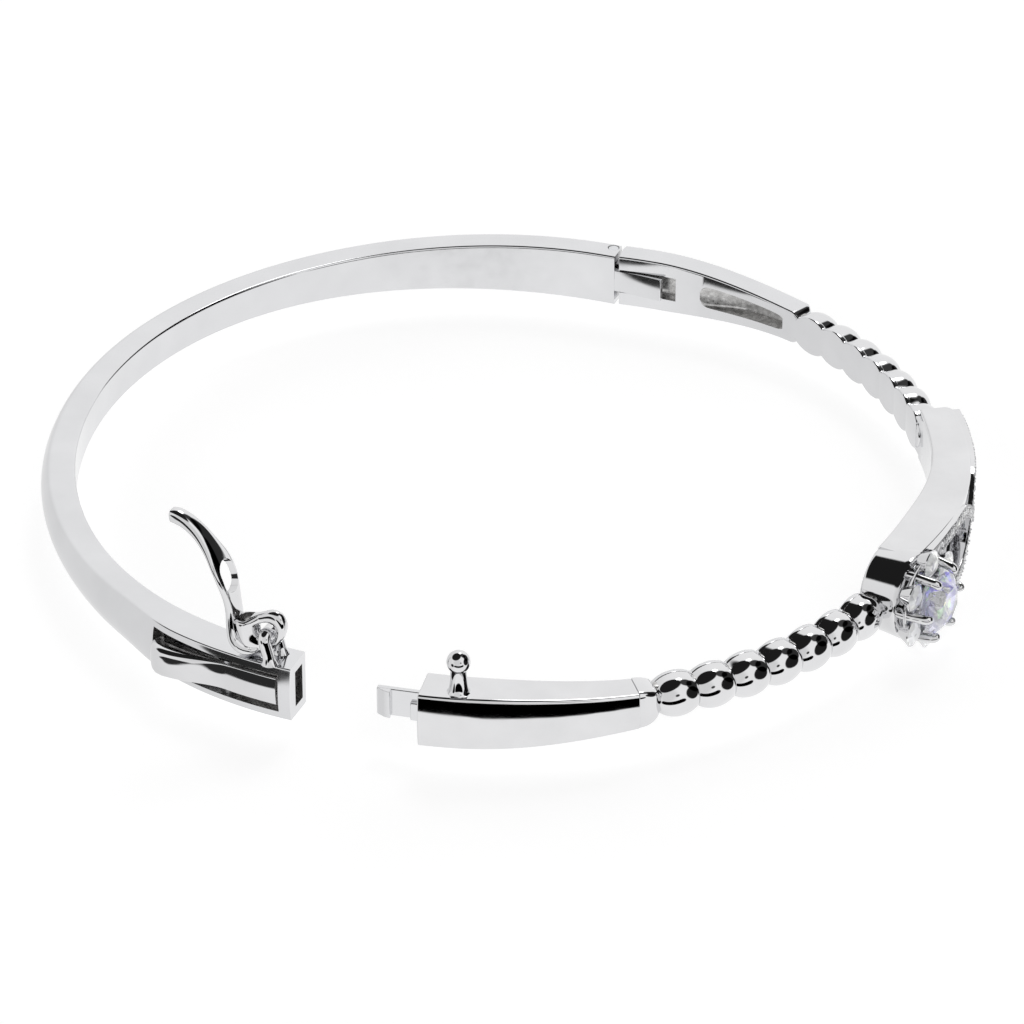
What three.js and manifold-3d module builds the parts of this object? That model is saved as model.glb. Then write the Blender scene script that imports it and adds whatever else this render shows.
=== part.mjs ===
// Hinged bangle bracelet with a box clasp and a figure-eight safety lever.
// Units are millimetres, +Z is up, and the bangle lies flat with its front half standing open.
//
// Plan frame used while building: +X runs from the clasp to the hinge, +Y towards the middle of the
// plain back half, Z = 0 is the middle plane of the band. A place on the band is given by the arc
// length along the inner face measured from the hinge seam, an offset outward from that inner face,
// and a height.
import * as THREE from 'three';
import { mergeVertices } from 'three/addons/utils/BufferGeometryUtils.js';
import Manifold3d from 'manifold-3d';

// ---------------------------------------------------------------- driving dimensions
const HALF_CHORD = 28.0;          // hinge to clasp, half the inner length
const BACK_DEPTH = 26.9;          // inner depth of the back half
const BACK_SKEW = 0.038;          // the back half swells slightly towards the hinge
const FRONT_DEPTH = 27.2;         // inner depth of the decorated half
const OPEN_ANGLE = 8.04;          // degrees the front half stands open
const CHORD_TURN = 68.5;          // degrees from world +X to the clasp-hinge chord

const BAND_HEIGHT_ENDS = 3.9;     // band height at hinge and clasp
const BAND_HEIGHT_BACK = 2.42;    // band height in the middle of the back
const BAND_THICK = 1.87;          // flat top face, radial
const BACK_DOME = 0.5;            // extra swell of the outer face
const BOX_THICK = 2.42;           // radial thickness at the clasp box
const BOX_DOME = 0.18;
const BOX_START = 72.0;           // arc where the band starts to thicken into the box
const BOX_END = 86.1;

const SEAM_GAP = 0.15;
const HINGE_ARC = 0.55;           // hinge pin sits this far behind the seam
const HINGE_OFF = 1.3;
const HINGE_PIN_R = 0.28;
const HINGE_HOLE_R = 0.33;
const KNUCKLE_R = 0.62;
const KNUCKLE_HALF = 0.8;
const KNUCKLE_SLOT_HALF = 0.88;
const LEAF_THICK = 0.42;
const LEAF_HALF = 0.83;
const LEAF_LENGTH = 3.6;
const LEAF_SLOT_HALF = 0.92;
const LEAF_SLOT_LENGTH = 4.4;
const LEAF_ROOT = -1.7;           // the leaf starts this far behind the seam
const RELIEF = 3.0;               // block cut away outside the pin so that the seam can open
const RELIEF_LEAN = THREE.MathUtils.degToRad(15);
const PIN_SINK_R = 0.42;
const POCKET_START = 6.3;         // hollow in the inner face of the hinge segment
const POCKET_LENGTH = 7.0;
const POCKET_DEPTH = 0.95;

const HINGE_SEGMENT_END = 14.8;
const BEADS = 7;
const UPPER_PITCH = 2.35;
const LOWER_PITCH = 2.5;
const BEAD_HALF_LENGTH = 1.755;
const BEAD_BARREL = 0.9;          // straight radial part before the domed outer end
const BEAD_DOME = 1.25;
const CENTRE_START = HINGE_SEGMENT_END + BEADS * UPPER_PITCH;
const CENTRE_END = 54.4;
const TONGUE_SEGMENT_START = CENTRE_END + BEADS * LOWER_PITCH;
const TONGUE_SEGMENT_END = 86.6;
const CENTRE_HALF_START = 2.0;    // half height where the centrepiece meets the beads

const CLUSTER_ARC = 51.5;
const CLUSTER_Z = 0.1;
const COLLAR_R = 2.8;             // round end of the centrepiece that holds the cluster
const COLLAR_TOP_R = 3.05;
const COLLAR_LOW = -0.35;
const COLLAR_TOP = 2.45;
const CUP_R = 2.5;
const CUP_RIM_R = 3.0;
const CUP_RIM = 3.1;
const CUP_BORE_R = 1.95;
const TOWER_R = 1.58;             // ring under the centre stone
const TOWER_BORE_R = 1.32;
const TOWER_TOP = 3.5;
const RAIL_THICK = 0.62;
const STONE_R = 2.1;
const STONE_GIRDLE = 4.3;
const CLAWS = 6;
const CLAW_RING = 2.5;
const CLAW_R = 0.26;
const HALO_R = 0.92;
const HALO_RING = 2.68;
const HALO_OFF = 3.5;
const PAVE_R = 0.4;
const PAVE_PER_RIBBON = 9;
const RIBBON_OFF = 3.0;

const BOX_FLOOR = 0.5;            // wall between the inner face and the clasp cavity
const CAVITY_HALF = 1.3;
const WINDOW_START = 76.1;
const WINDOW_END = 85.35;
const WINDOW_HALF = 1.4;
const PRESS_PIVOT_ARC = 81.4;
const PRESS_PIVOT_OFF = 1.62;
const PRESS_HALF = 1.02;
const PRESS_THUMB = 76.35;
const PRESS_TIP = 85.15;
const PRESS_SWELL = 1.15;         // the thumb end stands this far proud of the clasp box
const PRESS_PIN_R = 0.23;
const PRESS_HOLE_R = 0.27;
const SPRING_START = 77.2;
const SPRING_LENGTH = 3.4;
const SPRING_THICK = 0.16;

const TONGUE_LENGTH = 3.0;
const BALL_R = 0.78;
const BALL_ARC = 84.3;
const BALL_OFF = 1.84;
const BALL_Z = 4.15;

const EAR_ARC = 84.36;
const SAFETY_PIVOT_Z = 3.95;      // the safety lever is modelled standing up, 140 degrees from closed
const SAFETY_OFF = 1.5;
const EAR_LEG_OFFSET = 0.78;
const EAR_BAR_R = 0.34;
const EAR_BEND = 0.4;
const EYE_THICK = 0.76;           // the lever's closed eye, across the band
const SLOT_PLAY = 0.055;          // room between the ball stud and the lever's slot

const SILVER = { color: 0xd9dadc, roughness: 0.12, metalness: 1.0 };
const STONE = { color: 0xf4f6fb, roughness: 0.02, metalness: 0.0 };

// ---------------------------------------------------------------- solid helpers
const wasm = await Manifold3d();
wasm.setup();
const { Manifold, Mesh: ManifoldMesh } = wasm;

function geometryFrom(points, triangles) {
  const geometry = new THREE.BufferGeometry();
  geometry.setAttribute('position', new THREE.Float32BufferAttribute(points.flat(), 3));
  geometry.setIndex(triangles.flat());
  return outward(geometry);
}

function signedVolume(geometry) {
  const p = geometry.attributes.position;
  const index = geometry.index;
  let volume = 0;
  const a = new THREE.Vector3();
  const b = new THREE.Vector3();
  const c = new THREE.Vector3();
  for (let i = 0; i < index.count; i += 3) {
    a.fromBufferAttribute(p, index.getX(i));
    b.fromBufferAttribute(p, index.getX(i + 1));
    c.fromBufferAttribute(p, index.getX(i + 2));
    volume += a.dot(b.cross(c)) / 6;
  }
  return volume;
}

function outward(geometry) {
  if (signedVolume(geometry) < 0) {
    const index = geometry.index;
    for (let i = 0; i < index.count; i += 3) {
      const keep = index.getX(i);
      index.setX(i, index.getX(i + 1));
      index.setX(i + 1, keep);
    }
  }
  return geometry;
}

function toManifold(geometry) {
  let source = geometry;
  if (geometry.hasAttribute('uv')) {
    source = geometry.clone();
    source.deleteAttribute('normal');
    source.deleteAttribute('uv');
    source = mergeVertices(source, 1e-5);
  }
  outward(source);
  return new Manifold(new ManifoldMesh({
    numProp: 3,
    vertProperties: new Float32Array(source.attributes.position.array),
    triVerts: new Uint32Array(source.index.array),
  }));
}

function fromManifold(solid) {
  const mesh = solid.getMesh();
  const geometry = new THREE.BufferGeometry();
  geometry.setAttribute('position', new THREE.BufferAttribute(new Float32Array(mesh.vertProperties), 3));
  geometry.setIndex(new THREE.BufferAttribute(new Uint32Array(mesh.triVerts), 1));
  return geometry;
}

function join(...parts) {
  return fromManifold(parts.map(toManifold).reduce((a, b) => a.add(b)));
}

function cut(body, ...tools) {
  return fromManifold(tools.map(toManifold).reduce((a, b) => a.subtract(b), toManifold(body)));
}

// A closed solid through matching outlines; each ring is a list of [x, y, z].
function skin(rings) {
  const points = rings.flat();
  const n = rings[0].length;
  const triangles = [];
  for (let i = 0; i + 1 < rings.length; i += 1) {
    for (let j = 0; j < n; j += 1) {
      const a = i * n + j;
      const b = i * n + (j + 1) % n;
      triangles.push([a, b, b + n], [a, b + n, a + n]);
    }
  }
  for (const [ring, flip] of [[0, true], [rings.length - 1, false]]) {
    const flat = projectFlat(rings[ring]);
    for (const t of THREE.ShapeUtils.triangulateShape(flat, [])) {
      const tri = t.map((k) => ring * n + k);
      triangles.push(flip ? tri.reverse() : tri);
    }
  }
  orientCaps(points, triangles, rings.length, n);
  return geometryFrom(points, triangles);
}

function projectFlat(ring) {
  const origin = new THREE.Vector3(...ring[0]);
  const normal = new THREE.Vector3();
  for (let i = 0; i < ring.length; i += 1) {
    const a = new THREE.Vector3(...ring[i]).sub(origin);
    const b = new THREE.Vector3(...ring[(i + 1) % ring.length]).sub(origin);
    normal.add(a.cross(b));
  }
  normal.normalize();
  const u = new THREE.Vector3(0.3, 0.5, 0.8).cross(normal).normalize();
  const v = normal.clone().cross(u);
  return ring.map((q) => {
    const d = new THREE.Vector3(...q).sub(origin);
    return new THREE.Vector2(d.dot(u), d.dot(v));
  });
}

// Every cap edge must run against the wall edge it meets.
function orientCaps(points, triangles, ringCount, n) {
  const wall = new Set();
  const walls = (ringCount - 1) * n * 2;
  for (let i = 0; i < walls; i += 1) {
    const t = triangles[i];
    for (let k = 0; k < 3; k += 1) wall.add(t[k] * 1e6 + t[(k + 1) % 3]);
  }
  for (const start of [0, (ringCount - 1) * n]) {
    const caps = triangles.slice(walls).filter((t) => t.every((k) => k >= start && k < start + n));
    const clash = caps.some((t) => t.some((k, i) => wall.has(k * 1e6 + t[(i + 1) % 3])
      && isRingEdge(k - start, t[(i + 1) % 3] - start, n)));
    if (clash) caps.forEach((t) => t.reverse());
  }
}

function isRingEdge(a, b, n) {
  return (a + 1) % n === b || (b + 1) % n === a;
}

function mesh(name, geometry, look) {
  const material = new THREE.MeshStandardMaterial(look);
  const clean = outward(geometry).toNonIndexed();
  clean.computeVertexNormals();
  const out = new THREE.Mesh(clean, material);
  out.name = name;
  return out;
}

const rad = THREE.MathUtils.degToRad;
const lerp = THREE.MathUtils.lerp;
const smooth = THREE.MathUtils.smoothstep;

// ---------------------------------------------------------------- the plan curve
function planXY(theta) {
  const depth = theta >= 0 ? BACK_DEPTH * (1 + BACK_SKEW * Math.cos(theta)) : FRONT_DEPTH;
  return [HALF_CHORD * Math.cos(theta), depth * Math.sin(theta)];
}

function planNormal(theta) {
  const [x0, y0] = planXY(theta - 1e-4);
  const [x1, y1] = planXY(theta + 1e-4);
  const length = Math.hypot(x1 - x0, y1 - y0);
  return [(y1 - y0) / length, (x0 - x1) / length];
}

function arcTable(sign) {
  const table = [[0, 0]];
  let total = 0;
  let last = planXY(0);
  const steps = 1440;
  for (let i = 1; i <= steps; i += 1) {
    const theta = sign * Math.PI * i / steps;
    const here = planXY(sign < 0 ? Math.min(theta, -1e-9) : theta);
    total += Math.hypot(here[0] - last[0], here[1] - last[1]);
    table.push([total, theta]);
    last = here;
  }
  return table;
}

const backTable = arcTable(1);
const frontTable = arcTable(-1);

function thetaAt(table, arc) {
  const last = table.length - 1;
  if (arc <= 0) return table[1][1] * arc / table[1][0];
  for (let i = 1; i <= last; i += 1) {
    if (arc <= table[i][0] || i === last) {
      const [s0, t0] = table[i - 1];
      const [s1, t1] = table[i];
      return t0 + (t1 - t0) * (arc - s0) / (s1 - s0);
    }
  }
  return table[last][1];
}

function place(table, arc, off, z) {
  const theta = thetaAt(table, arc);
  const [x, y] = planXY(theta);
  const [nx, ny] = planNormal(theta);
  return [x + off * nx, y + off * ny, z];
}

const back = (arc, off, z) => place(backTable, arc, off, z);
const front = (arc, off, z) => place(frontTable, arc, off, z);

// A local frame standing on the band: x clockwise along the path, y outward, z up.
function frameAt(table, arc, off, z) {
  const [nx, ny] = planNormal(thetaAt(table, arc));
  const along = new THREE.Vector3(ny, -nx, 0);
  const out = new THREE.Vector3(nx, ny, 0);
  const matrix = new THREE.Matrix4().makeBasis(along, out, new THREE.Vector3(0, 0, 1));
  matrix.setPosition(...place(table, arc, off, z));
  return matrix;
}

function arcsBetween(start, end, count) {
  return Array.from({ length: count + 1 }, (_, i) => lerp(start, end, i / count));
}

function sweep(at, arcs, outline) {
  return skin(arcs.map((arc) => outline(arc).map(([off, z]) => at(arc, off, z))));
}

function slab(at, start, end, count, off0, off1, z0, z1) {
  return sweep(at, arcsBetween(start, end, count), () => [[off0, z0], [off1, z0], [off1, z1], [off0, z1]]);
}

function box(w, d, h, x, y, z) {
  return new THREE.BoxGeometry(w, d, h).translate(x, y, z);
}

function upright(radius, height, x, y, z, sides = 24) {
  return new THREE.CylinderGeometry(radius, radius, height, sides).rotateX(Math.PI / 2).translate(x, y, z);
}

// Band outline: flat inside, flat top and bottom, domed outside, softened corners.
function bandOutline(thick, dome, half, corner = 0.14) {
  const outer = [];
  const steps = 6;
  for (let i = 0; i <= steps; i += 1) {
    const z = lerp(-1, 1, i / steps);
    outer.push([thick + dome * (1 - z * z), z * half]);
  }
  return [[corner, -half], ...outer, [corner, half], [0, half - corner], [0, -half + corner]];
}

// ---------------------------------------------------------------- back half
function backHalfHeight(arc) {
  const c = Math.abs(Math.cos(thetaAt(backTable, arc)));
  return lerp(BAND_HEIGHT_BACK, BAND_HEIGHT_ENDS, c ** 3.7) / 2;
}

function backOutline(arc) {
  const grow = smooth(arc, BOX_START, BOX_START + 6);
  const thick = lerp(BAND_THICK, BOX_THICK, grow);
  return bandOutline(thick, lerp(BACK_DOME, BOX_DOME, grow), backHalfHeight(arc));
}

function backShank() {
  const body = sweep(back, arcsBetween(0, BOX_END, 54), backOutline);
  const leafArcs = arcsBetween(LEAF_ROOT, LEAF_LENGTH, 5);
  const leaf = sweep(front, leafArcs, () => [[0.02, -LEAF_HALF], [LEAF_THICK, -LEAF_HALF],
    [LEAF_THICK, LEAF_HALF], [0.02, LEAF_HALF]]);
  const pinX = HALF_CHORD + HINGE_OFF;
  const knuckleSlot = box(4, 2.5, 2 * KNUCKLE_SLOT_HALF, HALF_CHORD + LEAF_THICK + 0.06 + 2, 0.15, 0);
  const pinHole = upright(HINGE_HOLE_R, 6, pinX, HINGE_ARC, 0);
  const pinSink = upright(PIN_SINK_R, 1, pinX, HINGE_ARC, 2.15);
  const relief = box(RELIEF, RELIEF, 2 * RELIEF, RELIEF / 2, -RELIEF / 2, 0).rotateZ(RELIEF_LEAN)
    .translate(pinX, 0, 0);
  const cavity = slab(back, WINDOW_START + 0.15, 84.95, 5, BOX_FLOOR, 1.9, -CAVITY_HALF, CAVITY_HALF);
  const mouth = slab(back, 84.8, BOX_END + 0.3, 2, BOX_FLOOR, 1.65, -CAVITY_HALF, CAVITY_HALF);
  const window = slab(back, WINDOW_START, WINDOW_END, 5, 1.7, 4, -WINDOW_HALF, WINDOW_HALF);
  const pressHole = pressPinCutter(PRESS_HOLE_R, 3.24);
  const withLeaf = join(cut(body, knuckleSlot, relief), leaf);
  return cut(withLeaf, pinHole, pinSink, cavity, mouth, window, pressHole);
}

// ---------------------------------------------------------------- hinge pin
function hingePin() {
  return upright(HINGE_PIN_R, 3.3, HALF_CHORD + HINGE_OFF, HINGE_ARC, 0);
}

// ---------------------------------------------------------------- press lever in the clasp window
function pressMatrix() {
  return frameAt(backTable, PRESS_PIVOT_ARC, PRESS_PIVOT_OFF, 0);
}

function pressPinCutter(radius, height) {
  return upright(radius, height, 0, 0, 0, 16).applyMatrix4(pressMatrix());
}

function pressOutline(arc) {
  const u = (arc - PRESS_THUMB) / (PRESS_TIP - PRESS_THUMB);
  const swell = PRESS_SWELL * (1 - smooth(u, 0.05, 0.62));
  const round = Math.sqrt(Math.max(0, 1 - ((Math.max(0, 0.14 - u)) / 0.15) ** 2));
  const outer = BOX_THICK + 0.1 + swell * round;
  const inner = lerp(2.05, 1.95, u);
  const low = -PRESS_HALF * (1 + 0.25 * swell) * lerp(0.8, 1, round);
  const high = lerp(0.78, PRESS_HALF, smooth(u, 0.0, 0.85)) * lerp(0.8, 1, round);
  const mid = (low + high) / 2;
  const r = (high - low) / 2;
  return [[inner, low + 0.05], [outer - 0.25, low], [outer - 0.06, mid - 0.8 * r], [outer, mid - 0.4 * r],
    [outer + 0.03, mid], [outer, mid + 0.4 * r], [outer - 0.06, mid + 0.8 * r], [outer - 0.25, high],
    [inner, high - 0.05]];
}

function pressLever() {
  const plate = sweep(back, arcsBetween(PRESS_THUMB, PRESS_TIP, 22), pressOutline);
  const lug = upright(0.55, 1.7, 0, 0, 0, 20).applyMatrix4(pressMatrix());
  const web = slab(back, PRESS_PIVOT_ARC - 0.5, PRESS_PIVOT_ARC + 0.5, 1,
    PRESS_PIVOT_OFF, 2.15, -0.85, 0.85);
  const nose = sweep(back, [84.55, 85.0], (arc) => {
    const deep = arc > 84.7 ? 1.62 : 1.56;
    return [[deep, -0.55], [2.1, -0.55], [2.1, 0.55], [deep, 0.55]];
  });
  return cut(join(plate, lug, web, nose), pressPinCutter(PRESS_HOLE_R, 4));
}

function pressPin() {
  return pressPinCutter(PRESS_PIN_R, 3.2);
}

function pressSpring() {
  const arcs = arcsBetween(SPRING_START, SPRING_START + SPRING_LENGTH, 8);
  return sweep(back, arcs, (arc) => {
    const u = (arc - SPRING_START) / SPRING_LENGTH;
    const off = lerp(1.5, BOX_FLOOR + 0.04, Math.sin(u * Math.PI / 2));
    return [[off, -0.6], [off + SPRING_THICK, -0.6], [off + SPRING_THICK, 0.6], [off, 0.6]];
  });
}

// ---------------------------------------------------------------- safety ear and safety lever
function safetyFrame() {
  return frameAt(backTable, EAR_ARC, SAFETY_OFF, 0);
}

function earGeometry() {
  const leg = EAR_LEG_OFFSET;
  const top = SAFETY_PIVOT_Z;
  const foot = backHalfHeight(EAR_ARC);
  const path = new THREE.CurvePath();
  const p = (y, z) => new THREE.Vector3(0, y, z);
  const corner = (side) => [[leg, top - EAR_BEND], [leg, top], [leg - EAR_BEND, top]]
    .map(([y, z]) => p(side * y, z));
  path.add(new THREE.LineCurve3(p(-leg, foot), corner(-1)[0]));
  path.add(new THREE.QuadraticBezierCurve3(...corner(-1)));
  path.add(new THREE.LineCurve3(corner(-1)[2], corner(1)[2]));
  path.add(new THREE.QuadraticBezierCurve3(...corner(1).reverse()));
  path.add(new THREE.LineCurve3(corner(1)[0], p(leg, foot)));
  const rings = [];
  const count = 26;
  for (let i = 0; i <= count; i += 1) {
    const c = path.getPointAt(i / count);
    const d = path.getTangentAt(i / count);
    const side = new THREE.Vector3(1, 0, 0);
    const up = new THREE.Vector3().crossVectors(d, side).normalize();
    const footFlare = 1 + 0.35 * Math.max(0, 1 - Math.abs(c.z - foot) / 0.5);
    rings.push(Array.from({ length: 12 }, (_, k) => {
      const a = 2 * Math.PI * k / 12;
      return c.clone().addScaledVector(side, EAR_BAR_R * footFlare * Math.cos(a))
        .addScaledVector(up, EAR_BAR_R * footFlare * Math.sin(a)).toArray();
    }));
  }
  for (const ring of [rings[0], rings[rings.length - 1]]) ring.forEach((q) => { q[2] = foot; });
  return skin(rings).applyMatrix4(safetyFrame());
}

// Side profile of the lever standing open: [distance towards the back, height], half width, half thickness.
const ARM = [
  { p: [0.55, 2.62], w: 0.42, t: 0.26 },
  { p: [1.0, 2.3], w: 0.8, t: 0.3 },
  { p: [1.6, 2.36], w: 1.0, t: 0.34 },
  { p: [2.15, 2.95], w: 0.95, t: 0.34 },
  { p: [2.42, 3.9], w: 0.72, t: 0.3 },
  { p: [2.55, 5.0], w: 0.66, t: 0.27 },
  { p: [2.72, 6.1], w: 0.9, t: 0.25 },
  { p: [3.02, 7.2], w: 1.16, t: 0.25 },
  { p: [3.48, 8.2], w: 1.12, t: 0.25 },
  { p: [4.1, 9.15], w: 0.85, t: 0.27 },
  { p: [4.85, 10.0], w: 0.62, t: 0.3 },
  { p: [5.7, 10.62], w: 0.5, t: 0.32 },
  { p: [6.5, 10.95], w: 0.44, t: 0.34 },
  { p: [7.05, 11.05], w: 0.3, t: 0.22 },
];
const SLOT_FROM = 6.15;
const SLOT_TO = 8.35;

function leverStrip(rows) {
  const spine = rows.map((r) => new THREE.Vector3(r.p[0], 0, r.p[1]));
  const curve = new THREE.CatmullRomCurve3(spine, false, 'centripetal');
  const count = (rows.length - 1) * 2;
  const rings = [];
  for (let i = 0; i <= count; i += 1) {
    const u = i / count;
    const c = curve.getPoint(u);
    const d = curve.getTangent(u);
    const k = Math.min(rows.length - 2, Math.floor(u * (rows.length - 1)));
    const f = u * (rows.length - 1) - k;
    const w = lerp(rows[k].w, rows[k + 1].w, f);
    const t = lerp(rows[k].t, rows[k + 1].t, f);
    const side = new THREE.Vector3(0, 1, 0);
    const normal = new THREE.Vector3().crossVectors(side, d).normalize();
    rings.push(Array.from({ length: 12 }, (_, j) => {
      const a = 2 * Math.PI * j / 12;
      const cx = Math.sign(Math.cos(a)) * Math.abs(Math.cos(a)) ** 0.7;
      const sx = Math.sign(Math.sin(a)) * Math.abs(Math.sin(a)) ** 0.7;
      return c.clone().addScaledVector(side, w * cx).addScaledVector(normal, t * sx).toArray();
    }));
  }
  return skin(rings);
}

function safetyLever() {
  const arm = leverStrip(ARM);
  const slotShape = new THREE.Shape();
  const slotHalf = BALL_R + SLOT_PLAY;
  const slotLength = SLOT_TO - SLOT_FROM;
  slotShape.absarc(0, slotHalf, slotHalf, Math.PI, 2 * Math.PI, false);
  slotShape.absarc(0, slotLength - slotHalf + 0.1, slotHalf, 0, Math.PI, false);
  slotShape.closePath();
  const slot = new THREE.ExtrudeGeometry(slotShape, { depth: 4, bevelEnabled: false, curveSegments: 10 });
  slot.translate(0, 0, -2).rotateX(Math.PI / 2).rotateZ(Math.PI / 2);
  const lean = Math.atan2(3.48 - 2.72, 8.2 - 6.1);
  slot.rotateY(lean).translate(2.74, 0, SLOT_FROM);
  const eye = eyeRing();
  const lever = join(cut(arm, slot), eye);
  return lever.applyMatrix4(safetyFrame());
}

// Closed eye of the lever: a flat loop hanging on the top bar of the ear.
function eyeRing() {
  const outline = [[0.35, 2.2], [-0.4, 2.75], [-1.05, 3.6], [-1.3, 4.6], [-1.0, 5.35], [-0.35, 5.55],
    [0.5, 5.2], [1.5, 4.65], [2.35, 4.4], [2.3, 3.6], [1.9, 2.6], [1.1, 2.1]];
  const opening = [[0.55, 3.15], [-0.15, 3.2], [-0.6, 3.8], [-0.78, 4.5], [-0.6, 4.95], [-0.25, 5.05],
    [0.5, 4.7], [1.1, 4.3], [1.2, 3.8], [0.95, 3.35]];
  const shape = new THREE.Shape(outline.reverse().map(([x, z]) => new THREE.Vector2(x, z)));
  shape.holes.push(new THREE.Path(opening.map(([x, z]) => new THREE.Vector2(x, z))));
  const loop = new THREE.ExtrudeGeometry(shape, { depth: EYE_THICK, bevelEnabled: false });
  return loop.translate(0, 0, -EYE_THICK / 2).rotateX(Math.PI / 2);
}

// ---------------------------------------------------------------- front half, built closed
function hingeHalf(arc) {
  return lerp(BAND_HEIGHT_ENDS / 2, 1.25, smooth(arc, 3, HINGE_SEGMENT_END) ** 0.9) * hingeEndRound(arc);
}

function hingeEndRound(arc) {
  return 1 - 0.25 * smooth(arc, HINGE_SEGMENT_END - 0.9, HINGE_SEGMENT_END) ** 2;
}

function hingeSegment() {
  const arcs = [...arcsBetween(SEAM_GAP, HINGE_SEGMENT_END - 0.9, 12),
    ...arcsBetween(HINGE_SEGMENT_END - 0.6, HINGE_SEGMENT_END, 2)];
  const body = sweep(front, arcs, (arc) => bandOutline(
    lerp(BAND_THICK, 1.75, arc / HINGE_SEGMENT_END) * hingeEndRound(arc),
    lerp(0.42, 0.3, arc / HINGE_SEGMENT_END), hingeHalf(arc)));
  const pinX = HALF_CHORD + HINGE_OFF;
  const knuckle = upright(KNUCKLE_R, 2 * KNUCKLE_HALF, pinX, HINGE_ARC, 0);
  const neck = box(KNUCKLE_R * 1.4, 1.5, 2 * KNUCKLE_HALF, pinX + 0.1, HINGE_ARC - 0.75, 0);
  const leafSlot = slab(front, -0.2, LEAF_SLOT_LENGTH, 5, -1, LEAF_THICK + 0.1,
    -LEAF_SLOT_HALF, LEAF_SLOT_HALF);
  const relief = box(RELIEF, RELIEF, 2 * RELIEF, RELIEF / 2, RELIEF / 2, 0).rotateZ(-RELIEF_LEAN)
    .translate(pinX, -SEAM_GAP - 0.02, 0);
  const hollow = sweep(front, arcsBetween(POCKET_START, POCKET_START + POCKET_LENGTH, 7), (arc) => {
    const u = (arc - POCKET_START) / POCKET_LENGTH;
    const half = lerp(0.95, 0.6, u);
    const entry = Math.sin(Math.min(1, u * 2.2 + 0.12) * Math.PI / 2);
    const deep = 0.15 + POCKET_DEPTH * entry * (u > 0.99 ? 0.6 : 1);
    return [[-1, -half], [deep, -half * 0.8], [deep, half * 0.8], [-1, half]];
  });
  const shaped = cut(body, relief, leafSlot, hollow);
  return cut(join(shaped, neck, knuckle), upright(HINGE_HOLE_R, 6, pinX, HINGE_ARC, 0));
}

function beadHalf(arc) {
  return lerp(1.42, 1.56, smooth(12 - Math.abs(arc - 43), 0, 12));
}

function bead(centre) {
  const half = beadHalf(centre);
  const sides = 16;
  const rows = [[0, 1], [BEAD_BARREL, 1]];
  for (let i = 1; i <= 3; i += 1) {
    const a = (Math.PI / 2) * i / 4;
    rows.push([BEAD_BARREL + BEAD_DOME * Math.sin(a), Math.cos(a)]);
  }
  rows.push([BEAD_BARREL + BEAD_DOME, 0.06]);
  const rings = rows.map(([off, scale]) => Array.from({ length: sides }, (_, k) => {
    const a = 2 * Math.PI * k / sides;
    return [BEAD_HALF_LENGTH * scale * Math.cos(a), off, half * scale * Math.sin(a)];
  }));
  return skin(rings).applyMatrix4(frameAt(frontTable, centre, 0, 0));
}

function beadStrip(start, end, neckStart = start) {
  const pitch = (end - start) / BEADS;
  const core = () => bandOutline(1.1, 0.25, 1.12, 0.1);
  const parts = [sweep(front, arcsBetween(neckStart, end, BEADS), core)];
  for (let i = 0; i < BEADS; i += 1) parts.push(bead(start + (i + 0.5) * pitch));
  return join(...parts);
}

function upperBeadStrip() {
  const strip = beadStrip(HINGE_SEGMENT_END, CENTRE_START);
  const before = beyond(HINGE_SEGMENT_END - 3, HINGE_SEGMENT_END);
  return cut(strip, before, beyond(CENTRE_START, CENTRE_START + 3));
}

function lowerBeadStrip() {
  const strip = beadStrip(CENTRE_END, TONGUE_SEGMENT_START, CENTRE_END - 1);
  return cut(strip, collar(), beyond(TONGUE_SEGMENT_START, TONGUE_SEGMENT_START + 3));
}

function beyond(start, end) {
  return slab(front, start, end, 2, -2, 5, -4, 4);
}

// Centrepiece: two side rails that spread from the beads and meet the round collar of the cluster.
function clusterFrame() {
  return frameAt(frontTable, CLUSTER_ARC, 0, CLUSTER_Z);
}

function collar() {
  return new THREE.CylinderGeometry(COLLAR_TOP_R, COLLAR_R, COLLAR_TOP - COLLAR_LOW, 32)
    .translate(0, (COLLAR_TOP + COLLAR_LOW) / 2, 0).applyMatrix4(clusterFrame());
}

function railEdge(arc, sign) {
  const spread = lerp(CENTRE_HALF_START, COLLAR_R + 0.1, smooth(arc, CENTRE_START + 3, 47.5));
  return CLUSTER_Z * smooth(arc, 42, 50) + sign * spread;
}

function centreInner(arc) {
  return 0.25 - 0.65 * smooth(arc, 36, 49);
}

function railOuter(arc) {
  return 2.55 + 0.35 * Math.sin(Math.PI * (arc - CENTRE_START) / 21) - 0.15 * smooth(arc, 44, 51);
}

function railOutline(arc, sign) {
  const edge = railEdge(arc, sign);
  const inner = centreInner(arc);
  const outer = railOuter(arc);
  return [[inner, edge], [outer - 0.12, edge], [outer, edge - sign * 0.14],
    [outer, edge - sign * RAIL_THICK], [inner, edge - sign * RAIL_THICK]];
}

function ribbonZ(arc, sign) {
  const middle = CLUSTER_Z * smooth(arc, 42, 50);
  return middle + (railEdge(arc, sign) - middle - sign * 0.55) * Math.cos(Math.PI * smooth(arc, 36, 46.5));
}

function ribbonOuter(arc) {
  return RIBBON_OFF + 0.15 * Math.sin(Math.PI * (arc - CENTRE_START) / 19);
}

function ribbon(sign) {
  return sweep(front, arcsBetween(CENTRE_START + 0.3, 50.2, 18), (arc) => {
    const z = ribbonZ(arc, sign);
    const outer = ribbonOuter(arc);
    return [[1.6, z - 0.5], [outer - 0.08, z - 0.5], [outer, z - 0.42], [outer, z + 0.42],
      [outer - 0.08, z + 0.5], [1.6, z + 0.5]];
  });
}

function paveArcs() {
  return arcsBetween(CENTRE_START + 1.1, 47.9, PAVE_PER_RIBBON - 1);
}

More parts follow.
